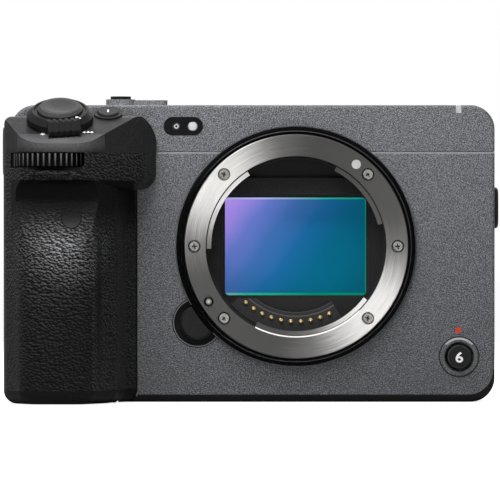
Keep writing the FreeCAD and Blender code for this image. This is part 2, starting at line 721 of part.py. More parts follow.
# Side cover with port openings and cooling slots
side_y0 = front_y + front_wrap + seam_gap
side_span = rear_split_y - seam_gap - side_y0
port_y0 = side_y0 + 0.073 * side_span
port_y1 = side_y0 + 0.539 * side_span
port_doors = ((-33.5, -10.5), (-8.5, 4.0))
port_r = 0.3
port_hinge_r = wall / 2
side_cover = shell.common(side_zone)
port_holes = [slab_x(port_y0, port_y1 + port_hinge_r + 2 * hinge_gap, z0, z1, port_r, body_right - 9,
                     body_right + 1)
              for z0, z1 in port_doors]
port_stub_holes = [rod(body_right - port_hinge_r, port_y1, z0 - 1.2, (0, 0, 1), stub_r + running_gap,
                       z1 - z0 + 2.4) for z0, z1 in port_doors]
vent_y0 = side_y0 + 0.648 * side_span
vent_y1 = side_y0 + 0.935 * side_span
vent_pitch = 2.6
vent_slot = 1.2
vent_count = 13
vents = [slab_x(vent_y0, vent_y1, -22 + i * vent_pitch, -22 + i * vent_pitch + vent_slot,
                vent_slot / 2 - 0.01,
                body_right - 9, body_right + 1) for i in range(vent_count)]
side_bush_y = 20.0
side_bush_z = 14.5
side_bush_hole = rod(body_right - 9, side_bush_y, side_bush_z, (1, 0, 0), bush_r + 0.05, 20)
nodes["side_cover"] = minus(side_cover, side_bush_hole, *port_holes, *port_stub_holes, *vents)
for label, (z0, z1) in zip(("lower", "upper"), port_doors):
    flap = slab_x(port_y0 + button_gap, port_y1, z0 + 0.2, z1 - 0.2, 0.3, body_right - wall, body_right)
    flap_knuckle = rod(body_right - port_hinge_r, port_y1, z0 + 0.2, (0, 0, 1), port_hinge_r, z1 - z0 - 0.4)
    flap_stubs = rod(body_right - port_hinge_r, port_y1, z0 - 1, (0, 0, 1), stub_r, z1 - z0 + 2)
    nail = rod(body_right + 0.5, port_y0 + 0.6, z0 + 3, (0, 0, 1), 0.9, z1 - z0 - 6)
    nodes["port_door_" + label] = fused(flap, flap_knuckle, flap_stubs).cut(nail)

# Rear cover: monitor bay, controls, thumb rest and the side wall with the card door
bay_x0 = -29.0
bay_x1 = body_right - 2.6
bay_z0 = -36.6
bay_z1 = 20.6
bay_depth = 5.0
bay_floor_y = rear_y - bay_depth
rear_cover = shell.common(rear_zone)
bay_outer = slab_y(bay_x0 - wall, bay_x1 + wall, bay_z0 - wall, bay_z1 + wall, 2.5, bay_floor_y - wall,
                   rear_y - 0.5)
bay_inner = slab_y(bay_x0, bay_x1, bay_z0, bay_z1, 0.6, bay_floor_y, rear_y + 9)
thumb_x0 = -73.2
thumb_x1 = -64.5
thumb_z0 = -4.0
thumb_z1 = 22.0
thumb_proud = 8.5
thumb = outline(((rear_y - 0.6, thumb_z0 - 7, 0), (rear_y, thumb_z0 - 7, 2),
                 (rear_y + thumb_proud, thumb_z0 + 9, 12), (rear_y + thumb_proud, thumb_z1, 3),
                 (rear_y - 0.6, thumb_z1 + 2, 0)),
                on_yz(thumb_x0)).extrude(at(thumb_x1 - thumb_x0, 0, 0))
thumb_plan = outline(((thumb_x0, rear_y - 0.6, 0), (thumb_x0, rear_y + thumb_proud, 3),
                      (thumb_x1, rear_y + thumb_proud, 4), (thumb_x1, rear_y - 0.6, 0)),
                     on_xy(thumb_z0 - 9))
thumb = thumb.common(thumb_plan.extrude(at(0, 0, thumb_z1 - thumb_z0 + 14)))
card_y0 = 21.5
card_y1 = 47.0
card_z0 = -26.0
card_z1 = card_z0 + card_door_h
card_hole = slab_x(card_y0 + 3, card_y1 - 2, card_z0 + 2, card_z1 - 2, 2, -body_left - 1, -body_left + 5)
card_t = 1.5
card_hinge_r = card_t / 2
card_hinge_x = -body_left - 0.1 - card_hinge_r
card_ears = [fused(rod(card_hinge_x, card_y0 + card_hinge_r, z, (0, 0, 1), card_hinge_r, 2),
                   block(card_hinge_x, -body_left + 0.3, card_y0, card_y0 + 2 * card_hinge_r, z, z + 2))
             for z in (card_z0 - 2.2, card_z1 + 0.2)]
card_stub_hole = rod(card_hinge_x, card_y0 + card_hinge_r, card_z0 - 1.5, (0, 0, 1), stub_r + running_gap,
                     card_door_h + 3)
rear_buttons = {
    "menu_button": (-35.0, 18.0, 2.3),
    "function_button": (-36.0, 2.5, 2.3),
    "play_button": (-60.0, -32.0, 2.3),
    "delete_button": (-38.5, -32.0, 2.3),
}
wheel_x = -50.0
wheel_z = -14.0
wheel_r = 11.0
wheel_bore = 4.6
wheel_t = 2.2
centre_r = wheel_bore - 0.3 - button_gap
wheel_hub_r = wheel_bore - 0.15
stick_x = -47.0
stick_z = 14.0
stick_opening = 4.6
button_holes = [rod(x, rear_y - 9, z, (0, 1, 0), r + button_gap, 18) for x, z, r in rear_buttons.values()]
wheel_recess = rod(wheel_x, rear_y - 1.0, wheel_z, (0, 1, 0), wheel_r + part_gap, 5)
wheel_backing = rod(wheel_x, rear_y - 3.2, wheel_z, (0, 1, 0), wheel_r + 1.5, 2.6)
centre_hole = rod(wheel_x, rear_y - 9, wheel_z, (0, 1, 0), centre_r + button_gap, 18)
wheel_hub = rod(wheel_x, rear_y - 1.1, wheel_z, (0, 1, 0), wheel_hub_r, 1.6)
stick_hole = rod(stick_x, rear_y - 9, stick_z, (0, 1, 0), stick_opening, 18)
rear_cover = fused(rear_cover, bay_outer, wheel_backing, thumb, *card_ears)
rear_cover = minus(rear_cover, bay_inner, wheel_recess, card_hole, card_stub_hole)
nodes["rear_cover"] = minus(fused(rear_cover, wheel_hub), centre_hole, stick_hole, *button_holes)
card_plate = slab_x(card_y0 + card_hinge_r, card_y1, card_z0, card_z1, 0.4, -body_left - 0.1 - card_t,
                    -body_left - 0.1)
card_knuckle = rod(card_hinge_x, card_y0 + card_hinge_r, card_z0, (0, 0, 1), card_hinge_r, card_door_h)
card_stubs = rod(card_hinge_x, card_y0 + card_hinge_r, card_z0 - 1.2, (0, 0, 1), stub_r, card_door_h + 2.4)
grip_lines = [rod(-body_left - 0.1 - card_t, card_y1 - 2.2 - i * 1.1, card_z0 + 6, (0, 0, 1), 0.28,
                  card_door_h - 12) for i in range(4)]
nodes["card_door"] = minus(fused(card_plate, card_knuckle, card_stubs), *grip_lines)
for name, (x, z, r) in rear_buttons.items():
    nodes[name] = button((x, rear_y - wall - 0.8, z), (0, 1, 0), r, wall + 0.8 + 0.6, 0.3)
wheel_base_y = rear_y - 1.0 + 0.1
nodes["control_wheel"] = minus(ribbed_disc((wheel_x, wheel_base_y, wheel_z), (0, 1, 0), wheel_r, wheel_t,
                                           36, 0.3),
                               rod(wheel_x, wheel_base_y - 1, wheel_z, (0, 1, 0),
                                   wheel_hub_r + running_gap, 9))
nodes["centre_button"] = button((wheel_x, rear_y - 3.4, wheel_z), (0, 1, 0), centre_r, 3.4 + 1.0, 0.4)
gimbal_y = rear_y - 3.0
stick_pin_r = 0.45
gimbal = fused(rod(stick_x, gimbal_y - 1, stick_z, (0, 1, 0), 3.2, 1.8),
               rod(stick_x - 4.3, gimbal_y, stick_z, (1, 0, 0), stick_pin_r, 8.6))
nodes["joystick_gimbal"] = minus(gimbal, rod(stick_x, gimbal_y - 2, stick_z, (0, 1, 0), 1.9, 4.0),
                                 rod(stick_x, gimbal_y, stick_z - 2.7, (0, 0, 1),
                                     stick_pin_r + running_gap, 5.4))
stem = rod(stick_x, gimbal_y - 0.8, stick_z, (0, 1, 0), 1.2, 4.6)
cap = button((stick_x, gimbal_y + 3.4, stick_z), (0, 1, 0), 3.2, 1.6, 0.5)
stick_pin = rod(stick_x, gimbal_y, stick_z - 2.6, (0, 0, 1), stick_pin_r, 5.2)
nodes["joystick"] = fused(stem, cap, stick_pin)

# Lens mount: bayonet ring with three inner tabs, screwed to the frame
seat_y = mount_thick
hub_y = 4.4
claw_space_r = mount_bore_r
hub_r = mount_bore_r + 1.1
tab_y0 = 1.0


def ring_sector(r_in, r_out, start, end, y0, y1):
    """A piece of a flat ring between two angles, seen from the front."""
    mid = (start + end) / 2
    pts = [polar(r_out, start), polar(r_out, mid), polar(r_out, end),
           polar(r_in, end), polar(r_in, mid), polar(r_in, start)]
    p = [at(x, y0, z) for x, z in pts]
    wire = Part.Wire([Part.Arc(p[0], p[1], p[2]).toShape(), Part.LineSegment(p[2], p[3]).toShape(),
                      Part.Arc(p[3], p[4], p[5]).toShape(), Part.LineSegment(p[5], p[0]).toShape()])
    return Part.Face(wire).extrude(at(0, y1 - y0, 0))


flange = tube(0, 0, 0, (0, 1, 0), mount_outer_r, mount_bore_r, mount_thick)
flange = bevel_edges_at(flange, 0.25, (0, 0, 0), (0, 1, 0), 2 * math.pi * (mount_outer_r - 1))
hub_tube = tube(0, mount_thick, 0, (0, 1, 0), hub_r, claw_space_r, hub_y - mount_thick)
tabs = [ring_sector(tab_inner_r, mount_bore_r + 0.3, a, b, tab_y0, tab_y0 + tab_thick)
        for a, b in tab_spans]
screw_sites = [polar(mount_screw_pcr, a) for a in mount_screw_angles]
head_seats = [rod(x, -1, z, (0, 1, 0), screw_head_r + 0.06, 1 + screw_head_h + 0.1) for x, z in screw_sites]
screw_holes = [rod(x, -1, z, (0, 1, 0), screw_shank_r + 0.05, 20) for x, z in screw_sites]
pin_x, pin_z = polar(lock_pin_pcr, lock_pin_angle)
pin_hole = rod(pin_x, -1, pin_z, (0, 1, 0), lock_pin_r + 0.08, 20)
index_x, index_z = polar(mount_screw_pcr, 53.7)
index_dimple = rod(index_x, -1, index_z, (0, 1, 0), 1.25, 1.15)
nodes["mount_ring"] = minus(fused(flange, hub_tube, *tabs), pin_hole, index_dimple, *head_seats,
                            *screw_holes)


def screw(x, y, z, axis, head_r, head_h, shank_r, length):
    """A pan-head machine screw with a cross recess; axis points into the work."""
    n = Vector(*axis)
    base = at(x, y, z)
    head = bevel_edges_at(Part.makeCylinder(head_r, head_h, base, n), head_h * 0.35, base, n)
    solid = head.fuse(Part.makeCylinder(shank_r, length, base, n)).removeSplitter()
    arm = head_r * 1.2
    slot = head_r * 0.26
    cross = Part.makeBox(arm, slot, head_h * 0.8, at(-arm / 2, -slot / 2, -0.2))
    cross = cross.fuse(Part.makeBox(slot, arm, head_h * 0.8, at(-slot / 2, -arm / 2, -0.2)))
    cross.Placement = FreeCAD.Placement(base, FreeCAD.Rotation(at(0, 0, 1), n))
    return solid.cut(cross)


nodes["mount_screws"] = Part.Compound([
    screw(x, 0.1, z, (0, 1, 0), screw_head_r, screw_head_h, screw_shank_r, screw_length)
    for x, z in screw_sites])

trim_front_y = front_y - trim_proud
trim_back_y = front_y + wall + 0.3
trim_profile = outline(((trim_bore, trim_front_y, 0), (trim_step_r - 0.15, trim_front_y, 0),
                        (trim_step_r, trim_front_y + 0.15, 0), (trim_step_r + 0.2, trim_front_y + 1.0, 0),
                        (trim_outer_r, trim_front_y + 1.2, 0),
                        (trim_outer_r, trim_back_y, 0), (trim_bore, trim_back_y, 0)), on_xy(0))
trim = trim_profile.revolve(at(0, 0, 0), at(0, 1, 0), 360)
nodes["mount_trim_ring"] = trim

# Leaf springs behind the bayonet tabs
spring_y = hub_y
spring_t = 0.25
nodes["bayonet_springs"] = Part.Compound([
    ring_sector(tab_inner_r + 0.3, hub_r - 0.05, (a + b) / 2 - 15, (a + b) / 2 + 15, spring_y,
                spring_y + spring_t)
    for a, b in tab_spans])

# Frame: front plate, mount seat, battery chamber and posts
frame_y = front_y + wall + 0.3
frame_t = 2.2
seat_bore = hub_r + 0.15
frame_bottom = floor_z + 0.02
frame_plate = slab_y(-shoulder_x - 6, body_right - wall - 0.3, frame_bottom, body_top - wall - 0.3, 4.0,
                     frame_y, frame_y + frame_t)
seat = rod(0, seat_y, 0, (0, 1, 0), mount_outer_r - 0.3, frame_y + frame_t - seat_y)
frame_bore = rod(0, seat_y - 1, 0, (0, 1, 0), seat_bore, 40)
bottom_rib = block(-chamber_left + chamber_w + chamber_wall / 2, body_right - wall - 2, frame_y,
                   rear_y - wall - 6, frame_bottom,
                   frame_bottom + 1.6)
tripod_boss = rod(0, tripod_y, frame_bottom, (0, 0, 1), tripod_flange_r + 1, bush_depth + 1)
side_post = [block(body_right - wall - 6, body_right - wall - 3.2, frame_y, bay_floor_y - wall - 0.3,
                   z, z + 2.5) for z in (frame_bottom + 1.6, 21.8)]
chassis = fused(frame_plate, seat, bottom_rib, tripod_boss, chamber, *side_post)
release_well = rod(release_x, 0, release_z, (0, 1, 0), release_r + button_gap + 0.2, 30)
button_well = rod(front_button_x, 0, front_button_z, (0, 1, 0), bezel_bore + 0.1, 30)
shoe_clear = block(-shoe_half - wall - 0.3, shoe_half + wall + 0.3, shoe_y0 - wall - 0.5, rear_y,
                   pan_floor - wall - 0.3, body_top)
chassis = minus(chassis, frame_bore, chamber_hollow, release_well, button_well, pin_hole, shoe_clear,
                rod(0, tripod_y, -body_bottom - 1, (0, 0, 1), tripod_flange_r + 0.05, bush_depth + 2.5),
                *screw_holes)
chassis = chassis.cut(block(-90, -shoulder_x + part_gap, -60, top_back_y + part_gap,
                             leather_top - part_gap, 90))
nodes["chassis"] = chassis.cut(block(-90, -chamber_left + chamber_w + 12, 20, 60, chamber_top + 1, 90))

# Lens release button and its lock pin
release_cut = rod(0, -9, 0, (0, 1, 0), trim_outer_r + 0.25, 60)
release_face_y = front_y - release_proud
release_back_y = frame_y + frame_t + 1.0
release = button((release_x, release_back_y, release_z), (0, -1, 0), release_r,
                 release_back_y - release_face_y,
                 0.6)
release = release.cut(rod(0, -9, 0, (0, 1, 0), trim_outer_r + 0.25, 9 + release_back_y - 1.0))
nodes["lens_release_button"] = release
pin_root_y = release_back_y + release_travel + 0.6
pin_rod = rod(pin_x, -lock_pin_proud, pin_z, (0, 1, 0), lock_pin_r, pin_root_y + lock_pin_proud)
pin_rod = bevel_edges_at(pin_rod, 0.4, (0, -lock_pin_proud, 0), (0, 1, 0))
pin_foot = rod(pin_x, pin_root_y, pin_z, (0, 1, 0), 2.0, 1.0)
nodes["lens_lock_pin"] = fused(pin_rod, pin_foot)

# Front custom button in its bezel
bezel = tube(front_button_x, front_y - bezel_proud, front_button_z, (0, 1, 0), bezel_r, bezel_bore,
             bezel_proud)
bezel_neck = tube(front_button_x, front_y, front_button_z, (0, 1, 0), bezel_r - 0.9, bezel_bore, wall)
bezel_floor = tube(front_button_x, front_y + wall, front_button_z, (0, 1, 0), bezel_r - 0.9,
                   cap_r + button_gap, 0.25)
bezel = bevel_edges_at(bezel, 0.3, (0, front_y - bezel_proud, 0), (0, 1, 0), 2 * math.pi * (bezel_r - 0.1))
nodes["front_button_bezel"] = fused(bezel, bezel_neck, bezel_floor)
cap_back_y = frame_y + frame_t - 0.5
nodes["front_button"] = button((front_button_x, cap_back_y, front_button_z), (0, -1, 0), cap_r,
                               cap_back_y - front_y + cap_proud, 0.5)

# Light chamber behind the mount, with the gate in its floor
cup_bore = 22.9
cup_r = seat_bore - 0.1
cup_floor_y = baffle_front_y + baffle_depth - 1.8
cup_back_y = baffle_front_y + baffle_depth
frame_back_y = frame_y + frame_t
gate = slab_y(-gate_w / 2, gate_w / 2, -gate_h / 2, gate_h / 2, 1.0, 0, 30)
cup = tube(0, baffle_front_y, 0, (0, 1, 0), cup_r, cup_bore, baffle_depth)
cup_flange = tube(0, frame_back_y, 0, (0, 1, 0), mount_outer_r + 0.8, cup_bore, 1.3)
cup_floor = rod(0, cup_floor_y, 0, (0, 1, 0), cup_bore + 0.5, 1.8)
hood_z0 = gate_h / 2 - 0.6
hood = rod(0, cup_floor_y - 1.6, 0, (0, 1, 0), cup_bore + 0.5, 1.7).common(
    block(-30, 30, 0, 20, hood_z0, hood_z0 + 5.0))
side_steps = [rod(0, cup_floor_y - 1.0, 0, (0, 1, 0), cup_bore + 0.5, 1.1).common(
    block(x, x + 6, 0, 20, -12, 10)) for x in (-26.0, 20.0)]
nodes["light_baffle"] = minus(fused(cup, cup_flange, cup_floor, hood, *side_steps), gate,
                              rod(pin_x, 0, pin_z, (0, 1, 0), 2.4, 40), release_well)

# Contact block with its spring pins
contact_in_r = 17.2
contact_top_z = -gate_h / 2 - 0.1
contact_spread = 6.5
contact_end = contact_start + contact_step * (contact_count - 1)
block_ring = ring_sector(contact_in_r, cup_bore - 0.15, contact_start - contact_spread,
                         contact_end + contact_spread, contact_face_y, cup_floor_y)
nodes["contact_block"] = block_ring.common(below(contact_top_z))
pin_sites = [polar(contact_pcr, contact_start + contact_step * i) for i in range(contact_count)]
pins = [button((x, cup_floor_y - 0.4, z), (0, -1, 0), contact_r, cup_floor_y - 0.4 - contact_face_y + 0.7,
               0.3)
        for x, z in pin_sites]
pin_bores = [rod(x, 0, z, (0, 1, 0), contact_r + 0.02, cup_floor_y - 0.4) for x, z in pin_sites]
nodes["contact_block"] = minus(nodes["contact_block"], *pin_bores)
nodes["contact_pins"] = Part.Compound(pins)

# Sensor on its stabiliser: a fixed base, an upright slide and a cross slide
base_y = cup_back_y
yoke_t = 1.2
yoke_y = base_y + stage_plate_t + part_gap
carrier_y = yoke_y + yoke_t + part_gap
pin_way = rod(pin_x, 0, pin_z, (0, 1, 0), 2.4, 40)
stage_base = slab_y(-34, 34, -26, 26, 4, base_y, base_y + stage_plate_t)
stage_open = slab_y(-22.5, 22.5, -17, 17, 2, 0, 40)
nodes["stabiliser_base"] = minus(stage_base, stage_open, pin_way,
                                 rod(release_x, 0, release_z, (0, 1, 0), 5.2, 40))
yoke = slab_y(-29, 29, -21.5, 21.5, 3, yoke_y, yoke_y + yoke_t)
magnets = [slab_y(x, x + 5, -6, 6, 1, yoke_y + yoke_t, yoke_y + yoke_t + 2.5) for x in (-28.5, 23.5)]
nodes["stabiliser_yoke"] = minus(fused(yoke, *magnets), slab_y(-21.5, 21.5, -16, 16, 2, 0, 40),
                                 rod(pin_x, 0, pin_z, (0, 1, 0), 2.4 + sensor_shift, 40))
half_w = sensor_w / 2
half_h = sensor_h / 2
window_front_y = flange_to_sensor - 0.4 - sensor_glass_t
package_y = flange_to_sensor - 0.3
carrier = slab_y(-half_w - carrier_margin + 1, half_w + carrier_margin - 1, -half_h - carrier_margin,
                 half_h + carrier_margin, 1.5, carrier_y, carrier_y + carrier_t)
package_pocket = slab_y(-half_w - 2.5, half_w + 2.5, -half_h - 2.5, half_h + 2.5, 0.8, package_y, 40)
window_way = slab_y(-half_w - 0.05, half_w + 0.05, -half_h - 0.05, half_h + 0.05, sensor_corner, 0, 40)
nodes["sensor_carrier"] = minus(carrier, window_way, package_pocket)
nodes["sensor_window"] = slab_y(-half_w, half_w, -half_h, half_h, sensor_corner, window_front_y,
                                window_front_y + sensor_glass_t)
package = slab_y(-half_w - 2.4, half_w + 2.4, -half_h - 2.4, half_h + 2.4, 0.8, package_y, package_y + 2.4)
spreader = slab_y(-half_w, half_w, -half_h, half_h, 1, package_y + 2.4, package_y + 3.6)
nodes["image_sensor"] = fused(package, spreader)

# Main board, cooling duct and fan
board_y = 25.0
board_t = 1.4
board_x1 = 46.0
chip_h = 1.6
board = slab_y(-41.0, board_x1, -32.0, 21.5, 2, board_y, board_y + board_t)
chips = [slab_y(x, x + w, z, z + h, 0.3, board_y + board_t, board_y + board_t + chip_h)
         for x, w, z, h in ((-14, 19, -12, 19), (-34, 12, -10, 14), (-34, 12, 8, 9), (8, 10, -6, 12),
                            (-12, 14, -28, 9), (6, 8, -26, 8))]
nodes["main_board"] = fused(board, *chips)
duct_y = board_y + board_t + chip_h + 0.1
duct_t = 1.4
duct_back_y = bay_floor_y - wall - 5.0
fan_x = 28.0
fan_z = -2.0
fan_r = 13.0
fan_box_x0 = fan_x - fan_r - 2.2
fan_box_x1 = body_right - wall - 2.4
fin_count = 13
fin_pitch = 3.2
spreader_plate = slab_y(-38, fan_box_x1, -26, 18, 2, duct_y, duct_y + duct_t)
fins = [block(-36, fan_box_x0 - 2, duct_y + duct_t - 0.1, duct_back_y, fan_z - 19 + i * fin_pitch,
              fan_z - 18.1 + i * fin_pitch) for i in range(fin_count)]
fan_box = slab_y(fan_box_x0, fan_box_x1, fan_z - fan_r - 2.2, fan_z + fan_r + 2.2, 2, duct_y, duct_back_y)
fan_bore = rod(fan_x, duct_y + duct_t, fan_z, (0, 1, 0), fan_r + 0.6, 40)
fan_outlet = block(fan_x, 90, duct_y + duct_t, duct_back_y - 1.2, fan_z - 8, fan_z + fan_r)
fan_inlet = block(-90, fan_x, duct_y + duct_t, duct_back_y - 1.2, fan_z - 9, fan_z + 9)
fan_post = rod(fan_x, duct_y, fan_z, (0, 1, 0), 1.0, duct_back_y - duct_y - 1.5)
duct_shell = minus(fan_box, fan_bore, fan_outlet, fan_inlet)
nodes["cooling_duct"] = fused(spreader_plate, duct_shell, fan_post, *fins)
blade_count = 11
fan_base_y = duct_y + duct_t + 0.4
fan_top_y = duct_back_y - 1.0
fan_hub = rod(fan_x, fan_base_y, fan_z, (0, 1, 0), 5.0, fan_top_y - fan_base_y)
blades = []
for i in range(blade_count):
    blade = ring_sector(fan_r * 0.46, fan_r * 0.96, 90.0, 93.0, fan_base_y, fan_top_y - 0.4)
    blade.rotate(at(0, 0, fan_r * 0.45), at(0, 1, 0), 28)
    blade.rotate(at(0, 0, 0), at(0, 1, 0), i * 360 / blade_count)
    blades.append(blade.translated(at(fan_x, 0, fan_z)))
fan_disc = rod(fan_x, fan_base_y, fan_z, (0, 1, 0), fan_r * 0.9, 0.8)
nodes["fan_impeller"] = fused(fan_hub, fan_disc, *blades).cut(
    rod(fan_x, 0, fan_z, (0, 1, 0), 1.0 + running_gap, 90))

# Card unit behind the side door
card_unit_y0 = chamber_front_y + chamber_d + chamber_wall + 0.1
card_unit_y1 = 45.2
card_unit_z = -14.0
card_unit = block(-body_left + wall + 0.6, -body_left + wall + 0.6 + card_unit_w, card_unit_y0,
                  card_unit_y1,
                  card_unit_z, card_unit_z + card_unit_h)
card_slots = [block(-90, -body_left + wall + card_unit_w - 3, y, y + card_slot_t, card_unit_z + 1.2,
                    card_unit_z + 1.2 + card_slot_h) for y in (card_unit_y0 + 1.0, card_unit_y0 + 4.6)]
nodes["card_unit"] = minus(card_unit, *card_slots)

# Sockets behind the side doors, on their own board
socket_x0 = 43.7
socket_x1 = body_right - wall - 0.4
socket_board = block(socket_x0 - 1.2, socket_x0, port_y0 - 1, board_y - 0.5, -33.0, 4.0)
big_socket = slab_x(17.0, 22.6, -31.5, -16.5, 0.8, socket_x0 - 0.1, socket_x1)
small_socket = slab_x(18.1, 21.5, -14.2, -9.2, 1.6, socket_x0 - 0.1, socket_x1)
jacks = [slab_x(y - 2.7, y + 2.7, -5.2, 1.0, 1.0, socket_x0 - 0.1, socket_x1) for y in (17.0, 22.1)]
socket_bores = [slab_x(17.6, 22.0, -30.9, -17.1, 0.6, socket_x1 - 5, socket_x1 + 1),
                slab_x(18.6, 21.0, -13.7, -9.7, 1.1, socket_x1 - 4, socket_x1 + 1),
                rod(socket_x1 - 6, 17.0, -2.1, (1, 0, 0), 1.8, 7),
                rod(socket_x1 - 6, 22.1, -2.1, (1, 0, 0), 1.8, 7)]
nodes["connectors"] = minus(fused(socket_board, big_socket, small_socket, *jacks), *socket_bores)

# Threaded bushes for accessories and the tripod
def bush(x, y, z, axis, r, length, bore_length):
    n = Vector(*axis)
    mouth = at(x, y, z)
    solid = bevel_edges_at(Part.makeCylinder(r, length, mouth - n * length, n), 0.2, mouth, n)
    return solid.cut(Part.makeCylinder(thread_r, bore_length, mouth - n * bore_length, n))


bushes = [bush(x, top_bush_y, body_top + 0.02, (0, 0, 1), bush_r, bush_depth + 0.8,
               bush_depth) for x in top_bush_x]
bushes.append(bush(body_right + 0.02, side_bush_y, side_bush_z, (1, 0, 0), bush_r, bush_depth + 0.8,
                   bush_depth))
bushes.append(bush(0, tripod_y, -body_bottom, (0, 0, -1), tripod_flange_r, bush_depth + 1.0,
                   bush_depth + 0.5))
nodes["threaded_bushes"] = Part.Compound(bushes)

# Strap lugs on both ends
lug_slot = 1.3
lug_proud = 2.8
lug_low_z = card_z1 + 2.9
left_lug = minus(slab_x(20.0, 29.5, lug_low_z, lug_low_z + 12.5, 3.0, -body_left - lug_proud,
                        -body_left - 0.02),
                 block(-body_left - lug_proud + 0.8, -body_left - lug_proud + 0.8 + lug_slot, 15, 35,
                       lug_low_z + 2.1, lug_low_z + 10.3))
right_lug = slab_x(5.2, 11.6, 4.7, 15.5, 2.9, body_right + 0.02, body_right + 1.05)
right_lug = round_edges_at(right_lug, 0.9, (body_right + 1.05, 0, 0), (1, 0, 0))
right_lug = right_lug.cut(slab_x(7.7, 9.1, 7.0, 13.5, 0.6, body_right + 0.5, body_right + 3))
nodes["strap_lugs"] = Part.Compound([left_lug, right_lug])

# Monitor on its side arm
hinge_x = bay_x1 - 2.6
hinge_y = rear_y + 1.4
arm_x0 = hinge_x - 3.0
panel_x0 = bay_x0 + 0.6
panel_x1 = arm_x0 - 0.3
panel_y0 = bay_floor_y + 0.4
panel_y1 = rear_y + 2.4
arm_z0 = bay_z0 + 0.3
arm_z1 = bay_z1 - 0.3
ear_r = 2.2
pivot_z = (bay_z0 + bay_z1) / 2
pivot_r = 2.0
ears = [fused(rod(hinge_x, hinge_y, z0, (0, 0, 1), ear_r, z1 - z0),
              block(hinge_x - ear_r, hinge_x + ear_r, rear_y - 0.6, hinge_y, z0, z1))
        for z0, z1 in ((floor_z + 0.1, bay_z0), (bay_z1, bay_z1 + 3.2))]
hinge_hole = rod(hinge_x, hinge_y, bay_z0 - 1.7, (0, 0, 1), 1.0 + running_gap, bay_z1 - bay_z0 + 3.4)
nodes["rear_cover"] = minus(fused(nodes["rear_cover"], *ears), hinge_hole)
arm = slab_z(arm_x0, hinge_x + 2.1, panel_y0 + 0.6, panel_y1, 1.0, arm_z0, arm_z1)
arm_pin = rod(hinge_x, hinge_y, arm_z0 - 1.4, (0, 0, 1), 1.0, arm_z1 - arm_z0 + 2.8)
pivot = rod(panel_x1 - 4, hinge_y - 3.0, pivot_z, (1, 0, 0), pivot_r, arm_x0 - panel_x1 + 4.5)
nodes["monitor_arm"] = fused(arm, arm_pin, pivot)
panel = slab_y(panel_x0, panel_x1, arm_z0, arm_z1, 2.5, panel_y0, panel_y1)
panel = bevel_edges_at(panel, 0.6, (0, panel_y1, 0), (0, 1, 0))
panel = bevel_edges_at(panel, 0.6, (0, panel_y0, 0), (0, 1, 0))
glass_edge = 1.5
glass_t = 0.9
glass_z1 = arm_z1 - glass_edge
glass_pocket = slab_y(panel_x0 + glass_edge, panel_x1 - glass_edge, arm_z0 + glass_edge, glass_z1, 1.5,
                      panel_y1 - glass_t - 0.1, panel_y1 + 1)
nodes["monitor"] = minus(panel, glass_pocket, rod(panel_x1 - 4.2, hinge_y - 3.0, pivot_z, (1, 0, 0),
                                                  pivot_r + 0.05, 9))
nodes["monitor_glass"] = slab_y(panel_x0 + glass_edge + 0.1, panel_x1 - glass_edge - 0.1,
                                arm_z0 + glass_edge + 0.1, glass_z1 - 0.1, 1.4,
                                panel_y1 - glass_t - 0.05, panel_y1 - 0.1)

# Cover screws in the base plate
base_screws = ((-38.0, 10.0), (46.0, 10.0), (46.0, 40.0), (-38.0, 40.0))
screw_seats = [rod(x, y, -body_bottom - 1, (0, 0, 1), 1.45, 1.8) for x, y in base_screws]
screw_ways = [rod(x, y, -body_bottom - 1, (0, 0, 1), 0.65, 9) for x, y in base_screws]
nodes["base_plate"] = minus(nodes["base_plate"], *screw_seats, *screw_ways)
nodes["chassis"] = minus(nodes["chassis"], *screw_ways)
nodes["base_screws"] = Part.Compound([
    screw(x, y, -body_bottom + 0.1, (0, 0, 1), 1.4, 0.7, 0.6, 2.8) for x, y in base_screws])

os.makedirs("parts", exist_ok=True)
for name, shape in nodes.items():
    shape.exportStep("parts/" + name + ".step")
    print(name, shape.isValid(), len(shape.Solids), len(shape.Faces), round(shape.Volume, 1))
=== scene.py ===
import math

import bmesh
import bpy
from mathutils import Matrix, Vector


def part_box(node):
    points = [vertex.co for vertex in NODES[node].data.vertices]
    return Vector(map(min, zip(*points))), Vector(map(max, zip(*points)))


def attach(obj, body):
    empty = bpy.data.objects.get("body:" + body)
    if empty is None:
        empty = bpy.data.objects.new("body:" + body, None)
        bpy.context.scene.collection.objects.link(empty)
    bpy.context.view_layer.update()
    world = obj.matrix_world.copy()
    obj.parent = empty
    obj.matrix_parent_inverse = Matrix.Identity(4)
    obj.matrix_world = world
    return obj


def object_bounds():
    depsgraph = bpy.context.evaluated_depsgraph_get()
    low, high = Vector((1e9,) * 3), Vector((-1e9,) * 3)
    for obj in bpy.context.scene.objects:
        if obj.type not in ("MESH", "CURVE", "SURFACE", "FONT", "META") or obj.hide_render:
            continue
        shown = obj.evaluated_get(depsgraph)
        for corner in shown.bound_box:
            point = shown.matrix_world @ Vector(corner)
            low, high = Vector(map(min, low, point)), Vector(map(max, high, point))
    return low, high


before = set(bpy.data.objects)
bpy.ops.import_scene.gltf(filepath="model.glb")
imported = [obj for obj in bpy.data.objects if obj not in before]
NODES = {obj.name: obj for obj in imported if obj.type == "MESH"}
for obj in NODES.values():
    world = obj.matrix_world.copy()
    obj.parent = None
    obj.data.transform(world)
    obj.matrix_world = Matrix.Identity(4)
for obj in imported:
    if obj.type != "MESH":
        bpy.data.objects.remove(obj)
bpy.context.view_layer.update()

# Finishes for every CAD piece of the camera body, and the small marks and trim on them.
# Lengths are in mm unless a line says metres. Colours are linear red, green and blue.
MM = 0.001
FAR = 200.0


# Places on the camera body, from the part's source. A pair is an X and a Z, or the two ends of a
# range. Four numbers are a spot: X and Z of its middle, and its reach along X and along Z.

